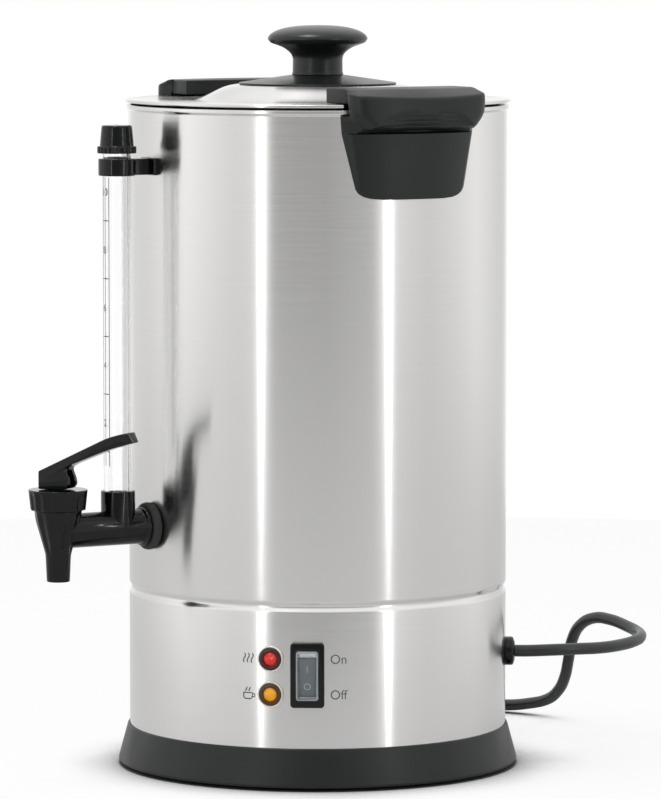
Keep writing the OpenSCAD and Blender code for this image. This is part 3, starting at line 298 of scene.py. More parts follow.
def cast_aluminium():
    """Sand cast aluminium with a coarse skin."""
    return grained("cast_aluminium", linear("#c3c4c4"), 1.2, (0.45, 0.6), 0.08,
                   ("#b5b6b6", "#cbcccc"), metallic=1)


def heat_tinted_sheath():
    """Steel sheath of a heating element, tinted straw and blue by heat."""
    return grained("heat_tinted_sheath", linear("#8c7a64"), 2, (0.3, 0.45), 0.02,
                   ("#8c7757", "#6f7078"), metallic=1)


def mica_band():
    """Pressed mica and foil round the keep warm winding, with flakes about 2 mm wide."""
    return grained("mica_band", linear("#cfc3a6"), 2, (0.35, 0.55), 0.05, ("#c2b493", "#dcd2b8"),
                   ior=1.56)


def brown_phenolic():
    """Brown phenolic thermostat case with a mottled filler."""
    return grained("brown_phenolic", linear("#4a3524"), 0.7, (0.35, 0.45), 0.02,
                   ("#402d1f", "#553d2a"), ior=1.58)


def glazed_ceramic():
    """White steatite ceramic of terminals, smooth with small specks."""
    return grained("glazed_ceramic", linear("#e8e5dc"), 0.6, (0.2, 0.32), 0.02,
                   ("#e2dfd4", "#eeece5"), ior=1.55)


def cord_vinyl():
    """Dark vinyl cord sheath: satin, with faint rings from the extruder."""
    return grained("cord_vinyl", user_colour("cord"), 1.1, (0.3, 0.4), 0.02, ior=1.53)


def hook_and_loop_strap():
    """Woven strap: threads about 0.8 mm apart, fuzzy on top."""
    material, tree, shader = start_material("hook_and_loop_strap", linear("#1f2122"), roughness=0.85,
                                            sheen_weight=0.5, sheen_roughness=0.5)
    place = add(tree, "ShaderNodeTexCoord").outputs["Object"]
    weave = add(tree, "ShaderNodeTexVoronoi", {"Vector": place, "Scale": per_mm(0.8)})
    relief = add(tree, "ShaderNodeBump", {"Height": weave.outputs["Distance"], "Distance": 0.2 * MM})
    tree.links.new(relief.outputs["Normal"], shader.inputs["Normal"])
    return material


def nickel_plate():
    """Nickel plated brass plug pins, with fine drawing marks."""
    return grained("nickel_plate", linear("#d0ccc2"), 0.8, (0.16, 0.28), 0.01, metallic=1)


def grey_print():
    """Screen printed grey ink."""
    return grained("grey_print", linear("#5d6162"), 0.5, (0.5, 0.65), 0.01, ("#565a5b", "#666a6b"),
                   ior=1.45)


def pale_print():
    """Pale grey ink on the rocker."""
    return grained("pale_print", linear("#c3cace"), 0.5, (0.4, 0.55), 0.01, ior=1.45)


def black_print():
    """Fired black ink on the glass tube."""
    return grained("black_print", linear("#1c1f20"), 0.5, (0.4, 0.55), 0.01, ior=1.45)


def finish(maker):
    """A material, made the first time that a piece asks for it."""
    return bpy.data.materials.get(maker.__name__) or maker()


# Modelling


def ready(obj=None):
    """Leaves edit mode and selects obj alone, or nothing."""
    if bpy.context.object and bpy.context.object.mode != "OBJECT":
        bpy.ops.object.mode_set(mode="OBJECT")
    bpy.ops.object.select_all(action="DESELECT")
    if obj:
        obj.select_set(True)
        bpy.context.view_layer.objects.active = obj


def named(name):
    """The object that was just added, under its own name."""
    obj = bpy.context.object
    obj.name = obj.data.name = name
    return obj


def apply(obj, kind, **settings):
    """Adds a modifier and applies it."""
    ready(obj)
    modifier = obj.modifiers.new(kind.title(), kind)
    for key, value in settings.items():
        setattr(modifier, key, value)
    bpy.ops.object.modifier_apply(modifier=modifier.name)
    return obj


def round_edges(obj, width, segments=3, angle=35):
    """Rounds the edges that are sharper than the angle."""
    return apply(obj, "BEVEL", width=width * MM, segments=segments, limit_method="ANGLE",
                 angle_limit=math.radians(angle))


def cut(obj, tool, operation="DIFFERENCE"):
    """Cuts, joins or keeps the shared part of two pieces, and removes the second."""
    apply(obj, "BOOLEAN", object=tool, operation=operation, solver="EXACT")
    bpy.data.objects.remove(tool)
    return obj


def place(obj, matrix):
    """Puts a piece where it belongs and leaves its object at the origin."""
    ready(obj)
    where = matrix.copy()
    where.translation *= MM
    obj.matrix_world = where
    bpy.ops.object.transform_apply(location=True, rotation=True, scale=True)
    return obj


def on_wall(angle, z, out=0):
    """Place on the wall: local z runs outwards from the axis, local y runs up."""
    a = math.radians(angle)
    way = Vector((math.sin(a), -math.cos(a), 0))
    matrix = Matrix(((math.cos(a), 0, way.x, 0), (math.sin(a), 0, way.y, 0),
                     (0, 1, 0, 0), (0, 0, 0, 1)))
    matrix.translation = way * out + Vector((0, 0, z))
    return matrix


def soften(points, radius, count=5):
    """Replaces each inner corner of a line by a small curve. A point's last item may be a
    mapping with its own radius."""
    line = []
    for i, item in enumerate(points):
        own = item[-1].get("round", radius) if isinstance(item[-1], dict) else radius
        p = Vector([c for c in item if not isinstance(c, dict)])
        if i in (0, len(points) - 1) or own == 0:
            line.append(p)
            continue
        before, after = (Vector([c for c in points[j] if not isinstance(c, dict)]) - p
                         for j in (i - 1, i + 1))
        reach = min(own, 0.45 * before.length, 0.45 * after.length)
        first, last = p + before.normalized() * reach, p + after.normalized() * reach
        for k in range(count + 1):
            t = k / count
            line.append((1 - t) ** 2 * first + 2 * t * (1 - t) * p + t * t * last)
    return line


def draw_line(name, points):
    """A new piece in edit mode: one line through the points, all selected."""
    ready()
    bpy.ops.mesh.primitive_plane_add(size=MM)
    obj = named(name)
    bpy.ops.object.mode_set(mode="EDIT")
    bpy.ops.mesh.merge(type="CENTER")
    points = [Vector(p) * MM for p in points]
    bpy.ops.transform.translate(value=points[0])
    for a, b in zip(points, points[1:]):
        bpy.ops.mesh.extrude_vertices_move(TRANSFORM_OT_translate={"value": b - a})
    bpy.ops.mesh.select_all(action="SELECT")
    return obj


def close_up():
    """Merges doubles, turns the faces outwards and leaves edit mode."""
    bpy.ops.mesh.select_all(action="SELECT")
    bpy.ops.mesh.remove_doubles(threshold=0.002 * MM)
    bpy.ops.mesh.normals_make_consistent(inside=False)
    bpy.ops.object.mode_set(mode="OBJECT")


def divide(points, longest):
    """The same line with extra points, so that no part is longer than longest."""
    line = [Vector(points[0])]
    for start, end in zip(points, points[1:]):
        start, end = Vector(start), Vector(end)
        count = max(1, math.ceil((end - start).length / longest))
        line += [start.lerp(end, k / count) for k in range(1, count + 1)]
    return line


def spread(line, count):
    """Points at even steps along a line, both ends included."""
    lengths = [0]
    for a, b in zip(line, line[1:]):
        lengths.append(lengths[-1] + (b - a).length)
    points, i = [], 0
    for k in range(count + 1):
        want = lengths[-1] * k / count
        while i < len(line) - 2 and lengths[i + 1] < want:
            i += 1
        share = (want - lengths[i]) / (lengths[i + 1] - lengths[i])
        points.append(line[i].lerp(line[i + 1], share))
    return points


def lathe(name, outline, steps=STEPS, at=(0, 0)):
    """Turns an outline of radius and height round an upright axis."""
    obj = draw_line(name, [(at[0] + p[0], at[1], p[1]) for p in outline])
    bpy.ops.mesh.spin(steps=steps, angle=FULL_TURN, center=(at[0] * MM, at[1] * MM, 0),
                      axis=(0, 0, 1))
    close_up()
    return obj


def ring_outline(points, radius):
    """Closed outline for a ring: the corners softened, the last point back at the first."""
    line = soften([points[-1]] + list(points) + [points[0]], radius)[1:-1]
    return line + [line[0]]


def slab(name, outline, depth):
    """A flat outline in x and y with a thickness along z."""
    obj = draw_line(name, [(p[0], p[1], 0) for p in [*outline, outline[0]]])
    bpy.ops.mesh.remove_doubles(threshold=0.002 * MM)
    bpy.ops.mesh.edge_face_add()
    bpy.ops.mesh.extrude_region_move(TRANSFORM_OT_translate={"value": (0, 0, depth * MM)})
    close_up()
    return obj


def box(name, lowest, highest):
    """A block between two corners, to be shaped further."""
    ready()
    bpy.ops.mesh.primitive_cube_add(size=1)
    obj = named(name)
    lowest, highest = Vector(lowest), Vector(highest)
    bpy.ops.object.mode_set(mode="EDIT")
    bpy.ops.transform.resize(value=(highest - lowest) * MM)
    bpy.ops.transform.translate(value=(highest + lowest) / 2 * MM)
    bpy.ops.object.mode_set(mode="OBJECT")
    return obj


def loft(name, rings, closed=False):
    """A skin over rings with equal counts of points, capped at both ends unless it is closed."""
    rings = [*rings, rings[0]] if closed else rings
    ready()
    bpy.ops.mesh.primitive_grid_add(x_subdivisions=len(rings[0]), y_subdivisions=len(rings) - 1)
    obj = named(name)
    points = [Vector(p) * MM for ring in rings for p in [*ring, ring[0]]]
    for vertex, point in zip(obj.data.vertices, points, strict=True):
        vertex.co = point
    bpy.ops.object.mode_set(mode="EDIT")
    bpy.ops.mesh.select_all(action="SELECT")
    bpy.ops.mesh.remove_doubles(threshold=0.002 * MM)
    if not closed:
        bpy.ops.mesh.fill_holes(sides=0)
    close_up()
    return obj


def rounded_rectangle(width, height, corner, count=6):
    """Points round a rectangle with round corners, in x and y."""
    points = []
    for k, (sx, sy) in enumerate(((1, 1), (-1, 1), (-1, -1), (1, -1))):
        middle_x, middle_y = sx * (width / 2 - corner), sy * (height / 2 - corner)
        for i in range(count + 1):
            a = math.pi / 2 * (k + i / count)
            points.append((middle_x + corner * math.cos(a), middle_y + corner * math.sin(a)))
    return points


def ease(value, start, end):
    """Smooth step from 0 at start to 1 at end."""
    t = min(max((value - start) / (end - start), 0), 1)
    return t * t * (3 - 2 * t)


def flute(obj, at, count, depth, inner, low, high):
    """Presses waves into the outside of a turned piece, fading in above low and out below high;
    low and high each hold a height and the length of the fade."""
    for vertex in obj.data.vertices:
        p = vertex.co / MM - Vector((at[0], at[1], 0))
        reach = math.hypot(p.x, p.y)
        if reach > inner:
            fade = ease(p.z, low[0], low[0] + low[1]) * (1 - ease(p.z, high[0] - high[1], high[0]))
            press = depth * fade * (1 + math.cos(count * math.atan2(p.y, p.x))) / 2 / reach
            vertex.co -= Vector((p.x, p.y, 0)) * press * MM
    return obj


def text_mesh(name, words, size, align="LEFT"):
    """Flat letters at the origin, as a mesh."""
    ready()
    bpy.ops.object.text_add()
    mark = named(name)
    mark.data.body = words
    mark.data.size = size * MM
    mark.data.align_x = align
    ready(mark)
    bpy.ops.object.convert(target="MESH")
    return mark


def join(pieces):
    """Joins pieces into the first of them."""
    ready(pieces[0])
    for piece in pieces:
        piece.select_set(True)
    bpy.ops.object.join()
    return pieces[0]


def ink(mark, target, gap, thickness, **how):
    """Wraps a flat mark on a piece and gives it the thickness of ink."""
    apply(mark, "SHRINKWRAP", target=target, offset=gap * MM, **how)
    return apply(mark, "SOLIDIFY", thickness=thickness * MM, offset=1)


def project(way):
    """Settings of a wrap that moves points along one axis, both ways."""
    return {"wrap_method": "PROJECT", "use_project_" + way: True,
            "use_positive_direction": True, "use_negative_direction": True}


def dress(obj, body, maker, slot, *nodes, smooth=35):
    """Gives a finished piece its shading, material and body, and hides what it stands for."""
    ready(obj)
    if obj.type == "MESH":
        bpy.ops.object.shade_smooth_by_angle(angle=math.radians(smooth))
    obj.data.materials.clear()
    obj.data.materials.append(finish(maker))
    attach(obj, body)
    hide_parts(*nodes)
    return obj


# Sizes and colours that a user would change


class UrnSizes(bpy.types.PropertyGroup):
    bead_depth: bpy.props.FloatProperty(
        name="Bead depth", description="Depth of the pressed bead in the wall", default=1.5 * MM,
        unit="LENGTH")
    cord_diameter: bpy.props.FloatProperty(
        name="Cord diameter", description="Diameter of the mains cord", default=7 * MM, unit="LENGTH")
    flutes: bpy.props.IntProperty(
        name="Flutes", description="Flutes round the tap's barrel", default=10)
    scallops: bpy.props.IntProperty(
        name="Scallops", description="Finger scallops round the bonnet", default=16)
    knurls: bpy.props.IntProperty(
        name="Knurls", description="Teeth round the gauge cap's flange", default=24)
    grooves: bpy.props.IntProperty(
        name="Grooves", description="Grooves under each grip's ledge", default=4)
    scale_marks: bpy.props.IntProperty(
        name="Scale marks", description="Numbered marks on the sight tube", default=10)


class UrnColours(bpy.types.PropertyGroup):
    steel: bpy.props.FloatVectorProperty(
        name="Steel", description="Brushed steel of the body and the lid", subtype="COLOR",
        default=linear("#dcdbd9")[:3])
    satin: bpy.props.FloatVectorProperty(
        name="Satin black", description="Handles, knob and base", subtype="COLOR",
        default=linear("#171b1a")[:3])
    gloss: bpy.props.FloatVectorProperty(
        name="Gloss black", description="Tap, gauge fittings and switch frame", subtype="COLOR",
        default=linear("#07090a")[:3])
    rocker: bpy.props.FloatVectorProperty(
        name="Rocker", description="Switch rocker", subtype="COLOR", default=linear("#7b8286")[:3])
    red: bpy.props.FloatVectorProperty(
        name="Heating lamp", description="Upper lamp lens", subtype="COLOR",
        default=linear("#d2281c")[:3])
    amber: bpy.props.FloatVectorProperty(
        name="Warm lamp", description="Lower lamp lens", subtype="COLOR",
        default=linear("#eb9d10")[:3])
    cord: bpy.props.FloatVectorProperty(
        name="Cord", description="Sheath of the mains cord", subtype="COLOR",
        default=linear("#202425")[:3])


class UrnStage(bpy.types.PropertyGroup):
    bearing: bpy.props.FloatProperty(
        name="Bearing", description="Camera bearing, from the tap round to the right",
        default=math.radians(60), subtype="ANGLE")
    distance: bpy.props.FloatProperty(
        name="Distance", description="Camera distance from the urn's axis", default=3.1523,
        unit="LENGTH")
    height: bpy.props.FloatProperty(
        name="Height", description="Camera height above the table", default=0.49494,
        unit="LENGTH")
    floor: bpy.props.FloatVectorProperty(
        name="Floor", description="Floor and background", subtype="COLOR",
        default=linear("#ffffff")[:3])


# Operators


class URN_OT_stage(bpy.types.Operator):
    """Camera, lamps, world and floor"""
    bl_idname = "urn.stage"
    bl_label = "Stage"

    LENS, SHIFT, TILT = 244.2, 0.0161, 0.08924
    # Two narrow strips draw the bright lines on the steel, with a soft lamp above. Each has a turn
    # from the camera's bearing in degrees, a distance, a height, a size and a power.
    LAMPS = {"left_strip": (-33.5, 2.2, 0.5, (0.05, 1.6), 3),
             "right_strip": (42.5, 2.2, 0.5, (0.06, 1.6), 3.6),
             "overhead": (-60, 0.4, 1.9, (0.5, 0.5), 8)}
    LAMP_AIM = Vector((0, 0, 0.22))
    # Studio walls that the steel reflects: a turn from the camera's bearing and a brightness
    WALLS = ((-180, 1.06), (-150, 0.86), (-125, 0.93), (-88, 1.28), (-52, 0.96), (-31, 0.97),
             (-27, 0.45), (-15, 0.41), (5, 0.39), (34, 0.57), (38, 0.96), (50, 1), (71, 0.86),
             (112, 1.12), (140, 0.86), (155, 0.78), (180, 1.06))
    CEILING, EVEN = (1.2, 1.2, 1.2, 1), (0.6, 0.6, 0.6, 1)
    TABLE_R, SHADOW_REACH = 1.3, 0.075

    def execute(self, context):
        stage = context.scene.urn_stage
        self.aim_camera(context, stage)
        self.light(context, stage)
        self.lay_floor(stage)
        context.scene.view_settings.view_transform = "Standard"
        return {"FINISHED"}

    def aim_camera(self, context, stage):
        way = Vector((math.sin(stage.bearing), -math.cos(stage.bearing), 0))
        ready()
        bpy.ops.object.camera_add(location=way * stage.distance + Vector((0, 0, stage.height)),
                                  rotation=(math.pi / 2 - self.TILT, 0, stage.bearing))
        camera = named("camera")
        camera.data.lens = self.LENS
        camera.data.shift_x = self.SHIFT
        context.scene.camera = camera

    def light(self, context, stage):
        """Lamps, and a world that is plain white to the eye and a studio to reflections."""
        for name, (turn, distance, height, size, power) in self.LAMPS.items():
            a = stage.bearing + math.radians(turn)
            at = Vector((math.sin(a) * distance, -math.cos(a) * distance, height))
            aim = (self.LAMP_AIM - at).to_track_quat("-Z", "Y")
            ready()
            bpy.ops.object.light_add(type="AREA", location=at, rotation=aim.to_euler())
            lamp = named(name)
            lamp.data.shape = "RECTANGLE"
            lamp.data.size, lamp.data.size_y = size
            lamp.data.energy = power
            lamp.visible_camera = False
        world = bpy.data.worlds.new("studio")
        context.scene.world = world
        world.use_nodes = True
        tree = world.node_tree
        tree.nodes.clear()
        ray = add(tree, "ShaderNodeLightPath").outputs
        way = add(tree, "ShaderNodeTexCoord").outputs["Generated"]
        turned = add(tree, "ShaderNodeVectorRotate", {"Vector": way, "Angle": -stage.bearing},
                     rotation_type="Z_AXIS")
        parts = add(tree, "ShaderNodeSeparateXYZ", {"Vector": turned.outputs[0]})
        back = add(tree, "ShaderNodeMath", {0: parts.outputs["Y"], 1: -1}, operation="MULTIPLY")
        turn = add(tree, "ShaderNodeMath", {0: parts.outputs["X"], 1: back.outputs[0]},
                   operation="ARCTAN2")
        share = add(tree, "ShaderNodeMapRange", {"Value": turn.outputs[0], "From Min": -math.pi,
                    "From Max": math.pi})
        tent = add(tree, "ShaderNodeValToRGB", {"Fac": share.outputs["Result"]})
        stops = tent.color_ramp.elements
        for angle, _ in self.WALLS[1:-1]:
            stops.new((angle + 180) / 360)
        for stop, (_, level) in zip(stops, self.WALLS):
            stop.color = (level, level, level, 1)
        up = add(tree, "ShaderNodeMapRange", {"Value": parts.outputs["Z"], "From Min": 0.35,
                 "From Max": 0.75}, interpolation_type="SMOOTHSTEP")
        room = add(tree, "ShaderNodeMix", {0: up.outputs["Result"], 6: tent.outputs["Color"],
                   7: self.CEILING}, data_type="RGBA")
        lit = add(tree, "ShaderNodeMix", {0: ray["Is Glossy Ray"], 6: self.EVEN, 7: room.outputs[2]},
                  data_type="RGBA")
        seen = add(tree, "ShaderNodeMath", {0: ray["Is Camera Ray"], 1: ray["Is Transmission Ray"]},
                   operation="MAXIMUM")
        white = add(tree, "ShaderNodeMix", {0: seen.outputs[0], 6: lit.outputs[2],
                    7: list(stage.floor) + [1]}, data_type="RGBA")
        glow = add(tree, "ShaderNodeBackground", {"Color": white.outputs[2], "Strength": 1})
        add(tree, "ShaderNodeOutputWorld", {"Surface": glow.outputs[0]})

    def lay_floor(self, stage):
        """A white table that keeps soft shadows, darkest close to what stands on it."""
        ready()
        bpy.ops.mesh.primitive_circle_add(vertices=128, radius=self.TABLE_R, fill_type="NGON")
        floor = named("floor")
        material = bpy.data.materials.new("white_table")
        material.use_nodes = True
        tree = material.node_tree
        tree.nodes.clear()
        ray = add(tree, "ShaderNodeLightPath").outputs
        plain = add(tree, "ShaderNodeBsdfDiffuse", {"Color": linear("#f4f4f4")})
        near = add(tree, "ShaderNodeAmbientOcclusion", {"Distance": self.SHADOW_REACH}, samples=8)
        fade = add(tree, "ShaderNodeMapRange", {"Value": near.outputs["AO"], "From Min": 0.46,
                   "From Max": 0.82, "To Min": 0.0, "To Max": 1.0}, interpolation_type="SMOOTHSTEP")
        tone = add(tree, "ShaderNodeMix", {0: fade.outputs["Result"], 6: linear("#000000"),
                   7: list(stage.floor) + [1]}, data_type="RGBA")
        shine = add(tree, "ShaderNodeEmission", {"Color": tone.outputs[2], "Strength": 1.05})
        part = add(tree, "ShaderNodeMath", {0: ray["Is Camera Ray"], 1: 0.8}, operation="MULTIPLY")
        both = add(tree, "ShaderNodeMixShader",
                   {0: part.outputs[0], 1: plain.outputs[0], 2: shine.outputs[0]})
        add(tree, "ShaderNodeOutputMaterial", {"Surface": both.outputs[0]})
        floor.data.materials.append(material)


# Route of the cord, in metres: out of the gland, down to the table, round the coil, to the plug
CORD_START = [(0.061206, 0.09795, 0.0656), (0.064915, 0.103886, 0.0656)]
CORD_ROUTE = [
    (0.072, 0.118, 0.066), (0.0755, 0.1325, 0.066), (0.075, 0.1485, 0.0655), (0.071, 0.1645, 0.0655),
    (0.0635, 0.18, 0.066), (0.052, 0.192, 0.0665), (0.037, 0.2, 0.067), (0.0205, 0.203, 0.0685),
    (0.0035, 0.2025, 0.0705), (-0.012, 0.201, 0.07), (-0.0265, 0.2, 0.064), (-0.0375, 0.201, 0.053),
    (-0.046, 0.204, 0.04), (-0.0555, 0.2075, 0.028), (-0.067, 0.21, 0.018), (-0.0795, 0.21, 0.011),
    (-0.0935, 0.205, 0.007), (-0.107, 0.1985, 0.0048), (-0.121, 0.19, 0.0045)]
COIL_AT = Vector((-0.1205, 0.1325, 0.0045))
COIL_OUT, COIL_STEP, COIL_START = 0.0475, 0.0076, 125.6
TURNS_IN, TURNS_CLIMB, TURNS_OUT, RINGS_A_TURN = 2, 0.5, 1.56, 24
COIL_END = 0.007
TAIL_SHARE = (0, 0, 0.1, 0.35, 0.65, 0.9, 1, 1)
TAIL_STEP, TAIL_RISE = 0.008, 0.0072
PLUG_HALF, TIE_ANGLE = 26, 300


def coil_points():
    """Turns that wind inwards on the table and outwards on the layer above."""
    turns, mid = TURNS_IN + TURNS_CLIMB + TURNS_OUT, TURNS_IN + TURNS_CLIMB / 2
    inner = COIL_OUT - COIL_STEP * mid
    count = math.ceil(turns * RINGS_A_TURN)
    for k in range(count + 1):
        t = turns * k / count
        a = math.radians(COIL_START) + FULL_TURN * t
        up = min(max((t - TURNS_IN) / TURNS_CLIMB, 0), 1)
        r = inner + COIL_STEP * abs(t - mid)
        yield COIL_AT + Vector((r * math.cos(a), r * math.sin(a),
                                COIL_STEP * (1 - math.cos(math.pi * up)) / 2))


class URN_OT_cord(bpy.types.Operator):
    """Mains cord with its gland, coil, tie and plug"""
    bl_idname = "urn.cord"
    bl_label = "Cord"

    def execute(self, context):
        diameter = context.scene.urn_sizes.cord_diameter
        coil = list(coil_points())
        first = coil[0] - (coil[1] - coil[0]).normalized() * COIL_END
        last = coil[-1] + (coil[-1] - coil[-2]).normalized() * COIL_END
        start = (PLUG - PLUG_WAY * PLUG_HALF) * MM
        way = Vector((PLUG_WAY.x, PLUG_WAY.y, 0))
        foot = start - way * TAIL_STEP * (len(TAIL_SHARE) - 1) - Vector((0, 0, TAIL_RISE))
        tail = [foot + way * TAIL_STEP * k + Vector((0, 0, TAIL_RISE * share))
                for k, share in enumerate(TAIL_SHARE)]
        points = [*CORD_START, *CORD_ROUTE, first, *coil, *tail]
        ready()
        bpy.ops.curve.primitive_bezier_curve_add()
        cord = named("mains_cord")
        cord.data.splines.clear()
        line = cord.data.splines.new("BEZIER")
        line.bezier_points.add(len(points) - 1)
        for knot, point in zip(line.bezier_points, points):
            knot.co = point
            knot.handle_left_type = knot.handle_right_type = "AUTO"
        cord.data.bevel_depth = diameter / 2
        cord.data.bevel_resolution = 5
        cord.data.resolution_u = 5
        cord.data.use_fill_caps = True
        dress(cord, "urn", cord_vinyl, "cord_sheath", "power_cord", "cord_coil", "cord_tail")
        self.make_gland()
        plug, tie = self.make_plug(), self.make_tie()
        return {"FINISHED"}

    def make_gland(self):
        gland = lathe("cord_gland_bush", ring_outline(
            [(3.6, -6), (7.2, -6), (7.2, -0.4), (8.4, 0), (8.4, 4.4, {"round": 1.2}), (5.2, 5.5),
             (3.6, 5.5)], 0.5), 48)
        place(gland, on_wall(GLAND_ANGLE, GLAND_Z, BODY_R))
        dress(gland, "urn", gloss_nylon, "black_gloss", "cord_gland")

    def make_plug(self):
        ribs = [(4.2 + 2.6 * z / 12 + (0.5 if k % 2 else 0), z) for k, z in
                enumerate(0.6 + 1.1 * i for i in range(11))]
        plug = lathe("mains_plug_body", soften(
            [(0, 0), (4.2, 0), *[(*p, {"round": 0.3}) for p in ribs], (12, 13),
             (18.2, 20, {"round": 6}), (19, 30), (19, 50.8), (17.6, 52), (0, 52)], 1), 64)
        turn = PLUG_WAY.to_track_quat("Z", "Y").to_matrix().to_4x4()
        turn.translation = PLUG - PLUG_WAY * PLUG_HALF
        place(plug, turn)
        return dress(plug, "urn", cord_vinyl, "cord_sheath", "mains_plug")

    def make_tie(self):
        lowest, highest = span("coil_tie")
        at = middle("coil_tie")
        a = math.radians(TIE_ANGLE)
        tall = highest.z - lowest.z
        wide = 3 * COIL_STEP / MM + 0.6
        outer = rounded_rectangle(wide, tall, 2)
        inner = rounded_rectangle(wide - 1.6, tall - 1.6, 1.2)
        tie = loft("coil_strap", [[(x, y, z) for x, y in ring] for ring, z in
                                  ((outer, -4), (outer, 4), (inner, 4), (inner, -4))], closed=True)
        turn = Matrix(((math.cos(a), 0, -math.sin(a), 0), (math.sin(a), 0, math.cos(a), 0),
                       (0, 1, 0, 0), (0, 0, 0, 1)))
        turn.translation = at
        place(tie, turn)
        return dress(tie, "urn", hook_and_loop_strap, "cord_sheath", "coil_tie")


class URN_OT_body(bpy.types.Operator):
    """Steel wall with its bead and rolled rim, and the moulded base ring"""
    bl_idname = "urn.body"
    bl_label = "Body"

    BEAD_Z, BEAD_HALF, SHEET = 104.6, 3.5, 1
    BASE_IN, BASE_WALL = 94, 4

    def execute(self, context):
        depth = context.scene.urn_sizes.bead_depth / MM
        inner_r = BODY_R - self.SHEET
        pressed = [(t / 8, depth * (1 + math.cos(math.pi * t / 8)) / 2) for t in range(-8, 9)]
        pressed = [(d, self.BEAD_Z + self.BEAD_HALF * t) for t, d in pressed]
        outside = [(BODY_R - d, z) for d, z in pressed]
        inside = [(inner_r - d, z) for d, z in reversed(pressed)]
        rim = soften([outside[-1], (BODY_R, RIM - 3.2), (RIM_R, RIM - 2.4), (RIM_R, RIM),
                      (inner_r, RIM), inside[0]], 0.7, 4)
        wall = lathe("steel_wall", [(BODY_R, WALL_FOOT), *outside, *rim[1:-1], *inside,
                                    (inner_r, WALL_FOOT), (BODY_R, WALL_FOOT)], WIDE_STEPS)
        dress(wall, "urn", brushed_stainless_steel, "stainless", "body_shell")
        foot, top = span("base_ring")
        outer, hollow_r, seat = top.x, BODY_R - self.BASE_WALL, WALL_FOOT - 0.2
        ring = lathe("base_moulding", ring_outline(
            [(self.BASE_IN, foot.z), (outer - 0.6, foot.z), (outer, foot.z + 1.2),
             (BODY_R + 1.2, top.z - 0.6), (BODY_R + 0.15, top.z), (BODY_R + 0.15, seat),
             (BODY_R - 1.2, seat), (BODY_R - 1.2, top.z - 2), (hollow_r, top.z - 2),
             (hollow_r, foot.z + 6), (self.BASE_IN, foot.z + 6)], 0.8), WIDE_STEPS)
        dress(ring, "urn", satin_phenolic, "black_satin", "base_ring")
        return {"FINISHED"}


class URN_OT_lid(bpy.types.Operator):
    """Pressed lid, the knob and its skirt"""
    bl_idname = "urn.lid"
    bl_label = "Lid"

    FLAT, EDGE_FOOT, EDGE_BEAD = 388.1, 386.7, 0.4
    SHOULDER_R, SHOULDER_WIDE, SHOULDER_STEPS = 75, 28, 16
    NOTCH_IN, NOTCH_HALF, KNOB_R, CROWN = 81, 42.8, 29, 8

    def execute(self, context):
        self.make_lid()
        self.make_knob()
        return {"FINISHED"}

    def make_lid(self):
        top, flat, bead = span("knob_skirt")[0].z, self.FLAT, self.FLAT + self.EDGE_BEAD
        step = []
        for t in (k / self.SHOULDER_STEPS for k in range(self.SHOULDER_STEPS + 1)):
            rise = (1 - math.cos(math.pi * t)) / 2
            step.append((self.SHOULDER_R - self.SHOULDER_WIDE * t, flat + (top - flat) * rise))
        upper = soften([(LID_R - 3, self.EDGE_FOOT), (LID_R, self.EDGE_FOOT), (LID_R, bead),
                        (LID_R - 2.2, bead), (LID_R - 3.6, flat), (self.SHOULDER_R, flat)], 0.7, 5)
        lower = [(r - 0.4, z - 1) for r, z in reversed(step)]
        lip = [(106, flat - 1), (100, flat - 7), (101, flat - 7), (107.8, flat - 1),
               (LID_R - 3, flat - 1)]
        lid = lathe("steel_lid", [(0, top - 1), *lower, *lip, *upper[:-1], *step, (0, top)], WIDE_STEPS)
        for side in (-1, 1):
            ends = sorted((side * self.NOTCH_IN, side * 120))
            cut(lid, box("notch", (ends[0], -self.NOTCH_HALF, 370), (ends[1], self.NOTCH_HALF, 420)))
        dress(lid, "lid", brushed_stainless_steel, "stainless", "lid_plate", smooth=25)

    def make_knob(self):
        skirt_foot, (foot, top) = span("knob_skirt")[0].z, heights("lid_knob")
        skirt = lathe("knob_skirt_cone", soften(
            [(0, skirt_foot), (45.4, skirt_foot), (46, skirt_foot + 1.1), (16, foot), (0, foot)], 0.6))
        dress(skirt, "lid", polished_phenolic, "black_satin", "knob_skirt")
        crown_foot = top - self.CROWN
        crown = [(self.KNOB_R * math.cos(a) ** 0.8, crown_foot + self.CROWN * math.sin(a))
                 for a in (math.pi / 2 * k / 14 for k in range(1, 14))]
        neck = soften([(0, foot), (15.1, foot), (14.5, foot + 2), (14.4, foot + 11.6, {"round": 4}),
                       (19.6, foot + 16, {"round": 4}), (27.6, foot + 18.7, {"round": 2.5}),
                       (self.KNOB_R, crown_foot)], 0.8)
        knob = lathe("mushroom_knob", [*neck, *crown, (0, top)])
        dress(knob, "lid", polished_phenolic, "black_satin", "lid_knob")


